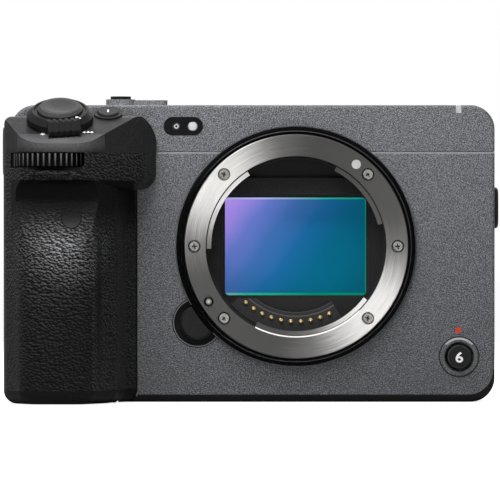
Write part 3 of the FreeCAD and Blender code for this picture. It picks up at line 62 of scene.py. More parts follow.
# Casing: the front face, the painted highlight on the top cover's seam, the black hem with its round
# corner at lower right, and the painted shade that darkens the paint towards the foot
FRONT_Y = 3.6
SEAM_HIGHLIGHT_Z = (24.28, 24.52)
HEM_CORNER = (45.0, -32.15)
HEM_R = 6.5
PAINTED_SHADE_Z = (30.0, -42.0)
PAINTED_SHADE = 0.42

# Lens release button: its recess in the casing, the painted highlight on the rim round that and the groove
# round the rim
RELEASE = (-25.71, -19.87)
RELEASE_PIT_R = 6.12
RELEASE_RIM_HIGHLIGHT = (6.1, 6.34)
RELEASE_GROOVE = (6.34, 6.58)

# Front button: the line on its cap, the painted highlight on its bezel's rim from a height up, and the groove
# outside
FRONT_BUTTON = (42.6, -28.8)
CAP_LINE = (2.86, 3.0)
BEZEL_RIM_HIGHLIGHT = (4.45, 4.95)
BEZEL_LIT_Z = (FRONT_BUTTON[1] + 3.2, 0)
BEZEL_GROOVE = (5.05, 5.3)

# Grip: the painted highlight on the nose, the painted highlights in the hollow and below it, the shades
# of the hollow and of the foot, the painted shade along the crease beside the hollow, and the inlay
NOSE_HIGHLIGHT = (-61.0, 27.0, 16.0, 3.6)
NOSE_HIGHLIGHT_Y = -20
SHINE_HIGHLIGHT_SPOT = (-60.5, -1.0, 13.0, 13.0)
SHINE_HIGHLIGHT_LOWER = (-66.0, -14.0, 12.0, 22.0)
SHINE_HIGHLIGHT_LOWER_SHARE = 0.16
HOLLOW_X = (-73.5, -42)
HOLLOW_Z = (0, 17)
HOLLOW_SHADE_Z = (3.5, 10.0)
HOLLOW_SHADE = 0.98
VALLEY = (-50.8, -12.0, 1.1, 30.0)
VALLEY_TOP = 10
HEEL_X = -52.4
HEEL_SHADE_Z = (-3.0, -18.0)
HEEL_SHADE = 0.6
INLAY = (-57.8, 7.15)
INLAY_R = 2.55
INLAY_TOP = 11.4
INLAY_GROOVE = 0.16
INLAY_SHADE_Z = (9.09, 4.48)

# Mount: radii of the rings' lines, the mount ring's one a painted shadow at its bore and the trim's light one
# a painted highlight, radii of the painted highlight on the lip behind the lower tab, the lip's reach, and the
# angle of the painted highlight lobes
MOUNT_SHADOW_LINE = (23.2, 23.52)
MOUNT_LIP_HIGHLIGHT = (23.4, 23.75)
MOUNT_LIP_HIGHLIGHT_X = (-10.6, 16.5)
MOUNT_LIP_HIGHLIGHT_Z = (-30, -16)
TRIM_LINE = (29.0, 29.5)
TRIM_HIGHLIGHT_LINE = (30.0, 30.14)
HIGHLIGHT_LOBE_ANGLE = math.radians(139)

# Contact block: radii and tones of the painted highlights on its two rims. Sensor: the widths of the painted
# highlights on its edges, and the strength of its painted glow
CONTACT_RIM_HIGHLIGHTS = ((17.2, 17.4, (0.05, 0.05, 0.052)), (18.2, 18.45, (0.1, 0.1, 0.103)))
SENSOR_EDGE_HIGHLIGHTS = {"right": 0.3, "bottom": 0.62, "top": 0.45}
SENSOR_GLOW = 0.56

# Lock pin: radii of its painted highlight and of its end, outside which it is painted dark as shade. Power
# switch: the height of its disc's top
PIN_HIGHLIGHT_R = 0.4
PIN_END_R = 0.74
SWITCH_DISC_TOP = 39.0


# Node materials


def math_node(tree, operation, *values):
    """The outcome of a Math node, each value a number or a socket."""
    n = tree.nodes.new("ShaderNodeMath")
    n.operation = operation
    for socket, value in zip(n.inputs, values):
        if isinstance(value, (int, float)):
            socket.default_value = value
        else:
            tree.links.new(value, socket)
    return n.outputs[0]


def rgba(tone):
    """Four channels from a colour or from a grey level."""
    return (*tone, 1) if isinstance(tone, tuple) else (tone, tone, tone, 1)


def dimmed(tone, share):
    return tuple(c * share for c in tone)


class Mat:
    """A node material with short calls for the things every finish here needs."""

    def __init__(self, name, base, rough, metal=0.0, sheen=0.5):
        self.mat = bpy.data.materials.new(name)
        self.mat.use_nodes = True
        self.tree = self.mat.node_tree
        self.out = self.tree.nodes["Principled BSDF"]
        self.coords = self.tree.nodes.new("ShaderNodeTexCoord").outputs["Object"]
        self.normal = None
        self.out.inputs["Base Color"].default_value = rgba(base)
        self.out.inputs["Roughness"].default_value = rough
        self.out.inputs["Metallic"].default_value = metal
        self.out.inputs["Specular IOR Level"].default_value = sheen

    def node(self, kind, **settings):
        """A shader node, each setting given to its property or else its socket of that name."""
        n = self.tree.nodes.new("ShaderNode" + kind)
        for key, value in settings.items():
            if hasattr(n, key):
                setattr(n, key, value)
            else:
                n.inputs[key.replace("_", " ")].default_value = value
        return n

    def link(self, a, b):
        self.tree.links.new(a, b)

    def math(self, operation, *values):
        return math_node(self.tree, operation, *values)

    # Coordinates and patterns

    def axis(self, letter):
        """One coordinate in metres."""
        n = self.node("SeparateXYZ")
        self.link(self.coords, n.inputs[0])
        return n.outputs["XYZ".index(letter)]

    def offset(self, letter, middle):
        """One coordinate in metres, measured from a place in mm."""
        return self.math("SUBTRACT", self.axis(letter), middle * MM)

    def vector(self, operation, first, second):
        """Two vectors put together, the second one a socket or a constant."""
        n = self.node("VectorMath", operation=operation)
        self.link(first, n.inputs[0])
        if isinstance(second, tuple):
            n.inputs[1].default_value = second
        else:
            self.link(second, n.inputs[1])
        return n.outputs[0]

    def noise(self, size, detail=3.0, rough=0.5, coords=None):
        n = self.node("TexNoise", Scale=1 / (size * MM), Detail=detail, Roughness=rough)
        self.link(coords or self.coords, n.inputs["Vector"])
        return n.outputs["Fac"]

    def cells(self, size, coords):
        n = self.node("TexVoronoi", Scale=1 / (size * MM))
        self.link(coords, n.inputs["Vector"])
        return n.outputs["Distance"]

    # Masks

    def both(self, *masks):
        """1 where every mask is 1."""
        result = masks[0]
        for mask in masks[1:]:
            result = self.math("MULTIPLY", result, mask)
        return result

    def between(self, value, low, high):
        """1 where a value in metres lies between two limits in mm."""
        return self.both(self.math("GREATER_THAN", value, low * MM), self.math("LESS_THAN", value, high * MM))

    def within(self, letter, low, high):
        """1 where one coordinate lies between two limits in mm."""
        return self.between(self.axis(letter), low, high)

    def rise(self, value, start, end, top=1.0):
        """From 0 to top while a value in metres goes from start to end in mm."""
        n = self.node("MapRange", From_Min=start * MM, From_Max=end * MM, To_Max=top)
        self.link(value, n.inputs["Value"])
        return n.outputs[0]

    def length(self, a, b):
        return self.math("SQRT", self.math("ADD", self.math("MULTIPLY", a, a), self.math("MULTIPLY", b, b)))

    def distance(self, x, z):
        """Distance in metres from an axis along Y through (x, z) in mm."""
        return self.length(self.offset("X", x), self.offset("Z", z))

    def spot(self, x, z, reach_x, reach_z):
        """1 at (x, z) in mm, falling to 0 on an ellipse round it, along the whole of Y."""
        away = self.length(self.math("DIVIDE", self.offset("X", x), reach_x * MM),
                           self.math("DIVIDE", self.offset("Z", z), reach_z * MM))
        return self.math("MAXIMUM", self.math("SUBTRACT", 1.0, away), 0.0)

    # Colours and surface: a tone is a colour or a grey level

    def ramp(self, value, *stops):
        """The tone at a value, between stops of (place, tone)."""
        n = self.node("ValToRGB")
        band = n.color_ramp
        while len(band.elements) < len(stops):
            band.elements.new(0.5)
        for element, (at, tone) in zip(band.elements, stops):
            element.position = at
            element.color = rgba(tone)
        self.link(value, n.inputs["Fac"])
        return n.outputs["Color"]

    def mix(self, mask, first, second):
        """The first tone, or the second where the mask is 1. Each is a tone or a socket."""
        n = self.node("Mix", data_type="RGBA")
        self.link(mask, n.inputs["Factor"])
        # Sockets 6 and 7 are the two colours of this node, and output 2 is the mixed one
        for socket, value in ((n.inputs[6], first), (n.inputs[7], second)):
            if isinstance(value, (tuple, float)):
                socket.default_value = rgba(value)
            else:
                self.link(value, socket)
        return n.outputs[2]

    def base(self, colour):
        self.link(colour, self.out.inputs["Base Color"])
        return self

    def roughness(self, value, low, high):
        self.link(self.ramp(value, (0.3, low), (0.7, high)), self.out.inputs["Roughness"])
        return self

    def bump(self, value, depth, strength):
        n = self.node("Bump", Distance=depth * MM, Strength=strength)
        self.link(value, n.inputs["Height"])
        if self.normal:
            self.link(self.normal, n.inputs["Normal"])
        self.normal = n.outputs["Normal"]
        self.link(self.normal, self.out.inputs["Normal"])
        return self


def flecks(m, dark, mid, light):
    """The fine pattern of a flecked paint, and its colour from three tones."""
    pattern = m.noise(0.26, 2.0, 0.7)
    m.roughness(m.noise(4.0), 0.46, 0.56)
    return pattern, m.ramp(pattern, (0.32, dark), (0.5, mid), (0.66, light))


def speckled_paint():
    """Dark grey paint with a fine light and dark fleck and a black hem, with painted shade making it darker
    below.

    The top cover's seam, the rim round the release button's recess and the top of the front button's bezel
    are light lines of painted highlight, and the recess and the grooves are black.
    """
    m = Mat("speckled_paint", (0.1, 0.1, 0.11), 0.5, sheen=0.1)

    def on_front(depth):
        return m.within("Y", FRONT_Y - 1, FRONT_Y + depth)

    height = m.axis("Z")
    from_release = m.distance(*RELEASE)
    from_button = m.distance(*FRONT_BUTTON)
    fleck, paint = flecks(m, (0.02, 0.021, 0.024), (0.12, 0.124, 0.134), (0.36, 0.366, 0.39))
    # Painted shade: the paint grows darker towards the foot
    paint = m.mix(m.rise(height, *PAINTED_SHADE_Z, top=PAINTED_SHADE), paint, (0.012, 0.012, 0.013))
    # Painted highlights: light lines on the seam, on the top of the bezel's rim and on the release recess's rim
    seam_highlight = m.both(m.between(height, *SEAM_HIGHLIGHT_Z), on_front(0.5))
    bezel_highlight = m.both(m.between(from_button, *BEZEL_RIM_HIGHLIGHT),
                       m.between(height, *BEZEL_LIT_Z))
    paint = m.mix(m.math("MAXIMUM", seam_highlight, bezel_highlight), paint, (0.4, 0.4, 0.42))
    rim = m.both(m.between(from_release, *RELEASE_RIM_HIGHLIGHT), on_front(0.2))
    paint = m.mix(rim, paint, (0.16, 0.16, 0.165))
    grooves = m.math("MAXIMUM", m.between(from_button, *BEZEL_GROOVE),
                     m.between(from_release, *RELEASE_GROOVE))
    paint = m.mix(m.both(grooves, on_front(1)), paint, 0.006)
    pit = m.both(m.between(from_release, 0.0, RELEASE_PIT_R), m.within("Y", FRONT_Y + 0.3, FRONT_Y + 3))
    corner = m.both(m.between(m.distance(*HEM_CORNER), HEM_R, FAR), m.within("X", HEM_CORNER[0], FAR),
                    m.between(height, -FAR, HEM_CORNER[1]))
    hem = m.math("MAXIMUM", corner, m.between(height, -FAR, HEM_CORNER[1] - HEM_R))
    m.base(m.mix(m.math("MAXIMUM", pit, hem), paint, 0.005))
    return m.bump(fleck, 0.05, 0.5).mat


def moulded_plastic(name="moulded_plastic", tone=0.026, rough=0.5, grain=0.25, sheen=0.16):
    m = Mat(name, tone, rough, sheen=sheen)
    fine = m.noise(grain, 2.0, 0.6)
    m.base(m.ramp(fine, (0.3, (tone * 0.7, tone * 0.7, tone * 0.72)),
                  (0.7, (tone * 1.5, tone * 1.5, tone * 1.55))))
    m.roughness(m.noise(3.0), rough - 0.05, rough + 0.06)
    return m.bump(fine, 0.02, 0.5).mat


def leather_grain():
    """Soft black skin in fine pebbles, with painted highlights where the fingers lie.

    Each pebble has painted light on its upper side and painted shade below, shade is painted under the nose,
    over the foot and along the crease, and a smooth inlay is shaped like a U.
    """
    m = Mat("leather_grain", (0.018, 0.018, 0.019), 0.5, sheen=0.06)
    height = m.axis("Z")

    # Pebbles: cells bent by a noise, and the slope between two lookups a little apart, which paints light
    # on each pebble's upper side and shade below it
    pebble_size = 0.72
    light_step = (0.08 * MM, 0.0, 0.2 * MM)
    warp = m.node("TexNoise", Scale=1 / (1.6 * MM), Detail=3.0)
    m.link(m.coords, warp.inputs["Vector"])
    bend = m.node("VectorMath", operation="SCALE", Scale=1.1 * MM)
    m.link(warp.outputs["Color"], bend.inputs[0])
    bent = m.vector("ADD", m.vector("MULTIPLY", m.coords, (0.8, 1.0, 1.25)), bend.outputs[0])
    pebble = m.cells(pebble_size, bent)
    slope = m.math("SUBTRACT", m.cells(pebble_size, m.vector("ADD", bent, light_step)), pebble)
    pebble_light_and_shade = m.ramp(m.math("ADD", m.math("MULTIPLY", slope, 1.6), 0.5), (0.25, 0.0), (0.5, 0.14), (0.8, 1.0))
    # Painted highlight: the skin is lighter in a spot in the hollow and, weaker, below it
    painted_shine = m.math("MAXIMUM", m.spot(*SHINE_HIGHLIGHT_SPOT), m.math("MULTIPLY", m.spot(*SHINE_HIGHLIGHT_LOWER), SHINE_HIGHLIGHT_LOWER_SHARE))
    skin = m.mix(m.ramp(painted_shine, (0.0, 0.02), (0.5, 0.36), (1.0, 1.0)),
                 m.mix(pebble_light_and_shade, 0.003, (0.034, 0.034, 0.035)),
                 m.mix(pebble_light_and_shade, 0.009, (0.3, 0.3, 0.31)))

    # Inlay: straight sides above its middle and a half circle below it, with painted shade that darkens it
    # towards its top
    reach = m.length(m.offset("X", INLAY[0]), m.math("MINIMUM", m.offset("Z", INLAY[1]), 0.0))
    below_top = m.between(height, -FAR, INLAY_TOP)
    inlay = m.both(m.between(reach, -1, INLAY_R), below_top)
    groove = m.both(m.between(reach, INLAY_R - INLAY_GROOVE, INLAY_R + INLAY_GROOVE), below_top)
    skin = m.mix(inlay, skin, m.mix(m.rise(height, *INLAY_SHADE_Z), 0.004, (0.05, 0.05, 0.052)))

    # Shade under the grip's nose, over its foot and along the crease beside the hollow
    under = m.both(m.rise(height, *HOLLOW_SHADE_Z), m.between(height, *HOLLOW_Z), m.within("X", *HOLLOW_X))
    skin = m.mix(m.math("MULTIPLY", under, HOLLOW_SHADE), skin, 0.001)
    heel = m.both(m.rise(height, *HEEL_SHADE_Z), m.within("X", -FAR, HEEL_X))
    skin = m.mix(m.math("MULTIPLY", heel, HEEL_SHADE), skin, 0.002)
    valley = m.both(m.spot(*VALLEY), m.between(height, -FAR, VALLEY_TOP))
    skin = m.mix(valley, skin, 0.004)
    m.base(m.mix(groove, skin, 0.0005))
    m.bump(m.math("SUBTRACT", 1.0, pebble), 0.12, 0.7)
    return m.bump(m.noise(0.3, 3.0, 0.6), 0.03, 0.5).mat


def turned_metal(name, tone, rough, sheen, dark_line, highlight_line=None, lip_highlight=None):
    """Metal faced on a lathe round the Y axis: fine rings, two painted highlight lobes, and lines at given
    radii.
    """
    m = Mat(name, tone, rough, metal=1.0)
    m.out.inputs["Anisotropic"].default_value = 0.5
    radius = m.distance(0.0, 0.0)
    angle = m.math("ARCTAN2", m.axis("Z"), m.axis("X"))
    # Long streaks round the axis: the pattern runs fast along the radius and slowly along the angle
    combine = m.node("CombineXYZ")
    m.link(m.math("MULTIPLY", radius, 9.0), combine.inputs[0])
    m.link(m.math("MULTIPLY", angle, 0.003), combine.inputs[1])
    rings = m.noise(1.4, 4.0, 0.7, combine.outputs[0])
    tangent = m.node("Tangent", direction_type="RADIAL", axis="Y")
    m.link(tangent.outputs[0], m.out.inputs["Tangent"])
    # Painted highlights: two bright lobes across the axis from each other, as strong as sheen sets
    highlight_lobes = m.math("COSINE", m.math("MULTIPLY", m.math("SUBTRACT", angle, HIGHLIGHT_LOBE_ANGLE), 2.0))
    swing = m.math("ADD", m.math("MULTIPLY", highlight_lobes, 0.5 * sheen), m.math("MULTIPLY", rings, 0.5))
    shares = ((0.0, 0.1), (0.1, 0.12), (0.35, 0.2), (0.48, 0.36), (0.66, 0.78), (0.74, 1.0))
    lathe = m.ramp(swing, *((at, dimmed(tone, share)) for at, share in shares))
    # Painted highlights: a light line and the bright lip behind the mount's lower tab. The mount ring's dark
    # line is painted shadow at its bore
    if highlight_line:
        lathe = m.mix(m.between(radius, *highlight_line), lathe, 0.14)
    lathe = m.mix(m.between(radius, *dark_line), lathe, dimmed(tone, 0.04))
    if lip_highlight:
        painted_lip_highlight = m.both(m.between(radius, *lip_highlight), m.within("Z", *MOUNT_LIP_HIGHLIGHT_Z), m.within("X", *MOUNT_LIP_HIGHLIGHT_X))
        lathe = m.mix(painted_lip_highlight, lathe, (1.0, 0.99, 0.97))
    m.base(lathe)
    m.roughness(rings, rough - 0.05, rough + 0.1)
    return m.bump(rings, 0.006, 0.6).mat


def plain_metal(name, tone, rough):
    m = Mat(name, tone, rough, metal=1.0)
    fine = m.noise(0.4, 3.0, 0.6)
    m.base(m.ramp(fine, (0.3, dimmed(tone, 0.8)), (0.7, tone)))
    m.roughness(fine, rough - 0.05, rough + 0.08)
    return m.bump(fine, 0.01, 0.4).mat


def toothed_wheel(piece, teeth, foot, top):
    """A black wheel about Z between two heights, with painted highlights on its narrow ridges, brighter
    towards the top, and painted shade between them.
    """
    low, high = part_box(piece)
    m = Mat(piece + "_teeth", (0.03, 0.03, 0.032), 0.38, metal=1.0)
    across = m.math("SUBTRACT", m.axis("X"), (low[0] + high[0]) / 2)
    ahead = m.math("SUBTRACT", m.axis("Y"), (low[1] + high[1]) / 2)
    wave = m.math("COSINE", m.math("MULTIPLY", m.math("ARCTAN2", ahead, across), float(teeth)))
    ridge = m.math("MULTIPLY", wave, -1.0)
    # Painted highlights on the ridges and painted shade between them, brighter towards the top
    lit, dim = (m.ramp(ridge, (0.2, 0.004), (0.75, tone))
                for tone in ((0.22, 0.22, 0.225), (0.04, 0.04, 0.042)))
    return m.base(m.mix(m.rise(m.axis("Z"), foot, top), dim, lit)).mat


def contact_housing():
    """The contacts' moulded block, with painted highlights on its two raised rims."""
    m = Mat("contact_housing", 0.016, 0.6, sheen=0.3)
    fine = m.noise(0.3, 2.0, 0.6)
    reach = m.distance(0, 0)
    face = m.ramp(fine, (0.3, 0.014), (0.7, (0.02, 0.02, 0.021)))
    for low, high, tone in CONTACT_RIM_HIGHLIGHTS:
        face = m.mix(m.between(reach, low, high), face, tone)
    return m.base(face).bump(fine, 0.02, 0.5).mat


def pin_steel():
    """The lock pin: a domed end with a painted highlight in its middle, painted dark outside as the shade of
    its gap.
    """
    low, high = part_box("lens_lock_pin")
    m = Mat("pin_steel", (0.2, 0.2, 0.19), 0.3, metal=1.0)
    fine = m.noise(0.4, 3.0, 0.6)
    end = m.ramp(fine, (0.3, (0.2, 0.2, 0.19)), (0.7, (0.26, 0.26, 0.25)))
    out = m.distance((low[0] + high[0]) / 2 / MM, (low[2] + high[2]) / 2 / MM)
    end = m.mix(m.between(out, 0.0, PIN_HIGHLIGHT_R), end, (0.5, 0.5, 0.48))
    m.base(m.mix(m.between(out, PIN_END_R, FAR), end, 0.02))
    return m.bump(fine, 0.01, 0.4).mat


def housing_plastic():
    """Black satin plastic of the grip's top, with a painted highlight on its nose."""
    m = Mat("housing_plastic", 0.02, 0.5, sheen=0.05)
    fine = m.noise(0.3, 2.0, 0.6)
    skin = m.ramp(fine, (0.3, 0.01), (0.5, (0.018, 0.018, 0.019)), (0.7, (0.032, 0.032, 0.034)))
    painted_nose_highlight = m.both(m.spot(*NOSE_HIGHLIGHT), m.within("Y", -FAR, NOSE_HIGHLIGHT_Y), m.ramp(fine, (0.3, 0.5), (0.7, 1.0)))
    m.base(m.mix(painted_nose_highlight, skin, (0.16, 0.16, 0.165)))
    m.roughness(m.noise(3.0), 0.45, 0.55)
    return m.bump(fine, 0.02, 0.5).mat


def ringed_cap():
    """The front button's cap: dark plastic, its rim black outside a thin lighter line."""
    m = Mat("ringed_cap", 0.014, 0.5, sheen=0.06)
    fine = m.noise(0.2, 2.0, 0.6)
    cap = m.ramp(fine, (0.3, 0.01), (0.7, (0.022, 0.022, 0.023)))
    out = m.distance(*FRONT_BUTTON)
    cap = m.mix(m.between(out, *CAP_LINE), cap, (0.07, 0.07, 0.072))
    m.base(m.mix(m.between(out, CAP_LINE[1], FAR), cap, 0.002))
    return m.bump(fine, 0.02, 0.5).mat


def switch_finish():
    """The power switch: its disc in the body's grey fleck, its lever black above it."""
    m = Mat("switch_finish", 0.1, 0.5, sheen=0.1)
    fleck, disc_paint = flecks(m, (0.06, 0.06, 0.065), (0.2, 0.2, 0.21), (0.4, 0.4, 0.42))
    lever = m.math("GREATER_THAN", m.axis("Z"), SWITCH_DISC_TOP * MM)
    m.base(m.mix(lever, disc_paint, 0.01))
    return m.bump(fleck, 0.03, 0.5).mat


def gloss_black(name="gloss_black", tone=0.006, rough=0.08):
    m = Mat(name, (tone, tone, tone * 1.1), rough, sheen=0.05)
    haze = m.noise(6.0, 2.0)
    m.base(m.ramp(haze, (0.3, (tone, tone, tone * 1.1)), (0.7, (tone * 1.6, tone * 1.6, tone * 1.8))))
    return m.roughness(haze, rough, rough + 0.05).mat


def coated_sensor():
    """Sensor glass: its coating runs from violet at top left through blue to teal at lower right.

    The glass glows in these colours, a painted light, and painted highlights lie along its right,
    bottom and top edges.
    """
    low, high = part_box("sensor_window")
    m = Mat("coated_sensor", (0.05, 0.2, 0.4), 0.3, sheen=0.05)
    x, z = m.axis("X"), m.axis("Z")
    across = m.rise(x, low[0] / MM, high[0] / MM)
    down = m.rise(z, high[2] / MM, low[2] / MM)
    slant = m.math("ADD", m.math("MULTIPLY", across, 0.64), m.math("MULTIPLY", down, 0.36))
    drift = m.math("MULTIPLY", m.math("SUBTRACT", m.noise(14.0, 1.0), 0.5), 0.08)
    coating = m.ramp(m.math("ADD", slant, drift),
                     (0.0, (0.54, 0.34, 1.0)), (0.08, (0.42, 0.29, 0.9)), (0.21, (0.14, 0.2, 0.62)),
                     (0.36, (0.045, 0.14, 0.4)), (0.5, (0.008, 0.112, 0.29)), (0.64, (0.001, 0.105, 0.2)),
                     (0.79, (0.0, 0.104, 0.178)), (0.95, (0.0, 0.09, 0.14)))
    edge_highlight = m.ramp(m.math("SUBTRACT", 1.0, slant),
                   (0.25, (0.0, 0.22, 0.13)), (0.55, (0.02, 0.42, 0.28)), (0.85, (0.5, 0.5, 0.9)))
    inside = {"right": m.math("SUBTRACT", high[0], x), "bottom": m.math("SUBTRACT", z, low[2]),
              "top": m.math("SUBTRACT", high[2], z)}
    right, bottom, top = (m.math("LESS_THAN", inside[side], width * MM) for side, width in SENSOR_EDGE_HIGHLIGHTS.items())
    glass = m.mix(m.math("MAXIMUM", m.math("MAXIMUM", right, bottom), top), coating, edge_highlight)
    # Painted light: the glass glows in its colours, the painted edge highlights too
    m.link(glass, m.out.inputs["Emission Color"])
    m.out.inputs["Emission Strength"].default_value = SENSOR_GLOW
    return m.base(glass).mat


def circuit_board():
    m = Mat("circuit_board", (0.01, 0.09, 0.035), 0.35)
    tracks = m.cells(1.6, m.vector("MULTIPLY", m.coords, (1.0, 1.0, 2.0)))
    m.base(m.ramp(tracks, (0.35, (0.008, 0.07, 0.028)), (0.5, (0.02, 0.16, 0.06))))
    return m.bump(tracks, 0.03, 0.4).mat


def frosted_lamp():
    m = Mat("frosted_lamp", (0.56, 0.57, 0.57), 0.4, sheen=0.1)
    ribs = m.noise(0.35, 2.0)
    m.base(m.ramp(ribs, (0.3, (0.46, 0.47, 0.47)), (0.6, (0.6, 0.61, 0.61))))
    return m.bump(ribs, 0.02, 0.4).mat


def mark_paint(name, tone):
    m = Mat(name, tone, 0.5, sheen=0.1)
    return m.base(m.ramp(m.noise(0.2, 2.0), (0.3, dimmed(tone, 0.85)), (0.7, tone))).mat


STEEL = plain_metal("screw_steel", (0.42, 0.415, 0.4), 0.25)
SCREEN = gloss_black("screen_glass", tone=0.004, rough=0.04)

# The pieces that each finish goes on
FINISHES = (
    (speckled_paint(), "front_cover", "top_cover", "rear_cover", "side_cover", "card_door",
     "front_button_bezel"),
    (housing_plastic(), "grip_top_housing"),
    (moulded_plastic("base_strip", tone=0.007, rough=0.55, grain=0.3, sheen=0.03), "base_plate", "grip_body"),
    (moulded_plastic(), "battery_door", "monitor_arm", "monitor", "fan_impeller", "battery",
     "stabiliser_yoke", "sensor_carrier"),
    (leather_grain(), "grip_leather"),
    (ringed_cap(), "front_button"),
    (moulded_plastic("button_plastic", tone=0.016, grain=0.2, sheen=0.07), "battery_latch",
     "lens_release_button", "strap_lugs", "record_button", "menu_button", "function_button", "play_button",
     "delete_button", "top_button", "centre_button"),
    (moulded_plastic("soft_rubber", tone=0.016, rough=0.62, grain=0.35), "port_door_lower",
     "port_door_upper", "joystick"),
    (gloss_black(), "front_window"),
    (switch_finish(), "power_switch"),
    (SCREEN, "monitor_glass"),
    (turned_metal("mount_steel", (0.86, 0.85, 0.83), 0.34, sheen=1.0, dark_line=MOUNT_SHADOW_LINE, lip_highlight=MOUNT_LIP_HIGHLIGHT),
     "mount_ring"),
    (turned_metal("trim_black", (0.02, 0.02, 0.021), 0.32, sheen=0.2, dark_line=TRIM_LINE,
                  highlight_line=TRIM_HIGHLIGHT_LINE), "mount_trim_ring"),
    (pin_steel(), "lens_lock_pin"),
    (STEEL, "mount_screws", "base_screws", "bayonet_springs", "joystick_gimbal"),
    (plain_metal("shoe_metal", (0.17, 0.17, 0.165), 0.5), "accessory_shoe", "threaded_bushes"),
    (plain_metal("gold_plate", (1.0, 0.76, 0.32), 0.3), "contact_pins"),
    (plain_metal("bare_alloy", (0.42, 0.42, 0.43), 0.4), "chassis", "cooling_duct", "card_unit", "connectors",
     "stabiliser_base"),
    (moulded_plastic("shutter_plastic", tone=0.045, rough=0.6, grain=0.2, sheen=0.07), "shutter_button"),
    (moulded_plastic("lever_plastic", tone=0.012, grain=0.2, sheen=0.05), "zoom_lever"),
    (plain_metal("knurled_black", (0.03, 0.03, 0.032), 0.38), "control_wheel"),
    (toothed_wheel("front_dial", teeth=42, foot=20.5, top=23.8), "front_dial"),
    (toothed_wheel("rear_dial", teeth=38, foot=27.6, top=31.2), "rear_dial"),
    (moulded_plastic("chamber_black", tone=0.014, rough=0.6, grain=0.3), "light_baffle"),
    (contact_housing(), "contact_block"),
    (frosted_lamp(), "indicator_lenses"),
    (coated_sensor(), "sensor_window"),
    (circuit_board(), "main_board", "image_sensor"),
)
for finish, *names in FINISHES:
    for name in names:
        mesh = NODES[name].data
        mesh.materials.clear()
        mesh.materials.append(finish)


# Small pieces on top of the CAD

# How far marks stand proud and how deep they sink, and where the lines that find their seats start
MARK = 0.03
RIM_MARK = 0.04
DOT_MARK = 0.1
SCREW_MARK = 0.01
SINK = 0.02
PROBE = 20
DECK_TILT = math.radians(26)
DECK = Vector((0, -math.sin(DECK_TILT), math.cos(DECK_TILT)))
DECK_BACK = Vector((0, math.cos(DECK_TILT), math.sin(DECK_TILT)))


def seat(node, start, direction):
    """Where a line from start, in mm, first meets a CAD node, and the surface's normal there."""
    hit, point, normal, _ = NODES[node].ray_cast(Vector(start) * MM, Vector(direction).normalized())
    if not hit:
        raise ValueError(f"no part of {node} lies on that line")
    return point / MM, normal.normalized()


def seat_front(node, x, z):
    """The seat that a line from the front meets at (x, z)."""
    return seat(node, (x, -PROBE, z), (0, 1, 0))


def seat_deck(node, point):
    """The seat below a point, on a line square to the grip's slanted deck."""
    return seat(node, point + DECK * PROBE, -DECK)


def place_on(point, normal, across=(1, 0, 0)):
    """A placement in mm whose Z is the normal and whose X lies along across."""
    z = Vector(normal).normalized()
    y = z.cross(Vector(across)).normalized()
    x = y.cross(z)
    turn = Matrix((x, y, z)).transposed().to_4x4()
    return Matrix.Translation(Vector(point)) @ turn


def piece(name, body, slot, material, loops, place, height):
    """Prisms on closed loops of (u, v) points in mm, sunk a little into place, riding on a body."""
    bm = bmesh.new()
    for loop in loops:
        foot, head = ([bm.verts.new((place @ Vector((u, v, level))) * MM) for u, v in loop]
                      for level in (-SINK, height))
        bm.faces.new(head)
        bm.faces.new(foot[::-1])
        for i in range(len(loop)):
            j = (i + 1) % len(loop)
            bm.faces.new((foot[i], foot[j], head[j], head[i]))
    bmesh.ops.recalc_face_normals(bm, faces=bm.faces)
    mesh = bpy.data.meshes.new(name)
    bm.to_mesh(mesh)
    bm.free()
    obj = bpy.data.objects.new(name, mesh)
    bpy.context.collection.objects.link(obj)
    mesh.materials.append(material)
    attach(obj, body)


def arc(r, start, end, steps=32):
    """Points on an arc, angles in degrees."""
    turns = [math.radians(start + (end - start) * i / steps) for i in range(steps + 1)]
    return [(r * math.cos(turn), r * math.sin(turn)) for turn in turns]


def disc(r):
    return arc(r, 0, 360)[:-1]


def ring(r_in, r_out):
    """A flat ring as one loop, with a slit too thin to see."""
    almost = 359.9
    return arc(r_out, 0, almost) + arc(r_in, almost, 0)


def bar(left, right, half):
    return [(left, -half), (right, -half), (right, half), (left, half)]


def tree(u, size):
    """A sign shaped like a small tree: a crown over a short stem."""
    outline = ((-0.5, -0.35), (-0.1, -0.35), (-0.1, -0.65), (0.1, -0.65), (0.1, -0.35), (0.5, -0.35), (0, 0.65))
    return [(u + a * size, b * size) for a, b in outline]


WHITE = mark_paint("white_mark", (0.86, 0.86, 0.86))
RECESS_SHADOW = plain_metal("recess_shadow", (0.05, 0.05, 0.05), 0.5)

# White index dot in the mount ring's dimple
INDEX_DOT = (15.69, 21.36)
INDEX_DOT_R = 1.2
place = place_on(*seat_front("mount_ring", *INDEX_DOT))
piece("index_dot", "camera", "lamp_clear", mark_paint("dot_mark", (0.56, 0.56, 0.56)), [disc(INDEX_DOT_R)],
      place, DOT_MARK)

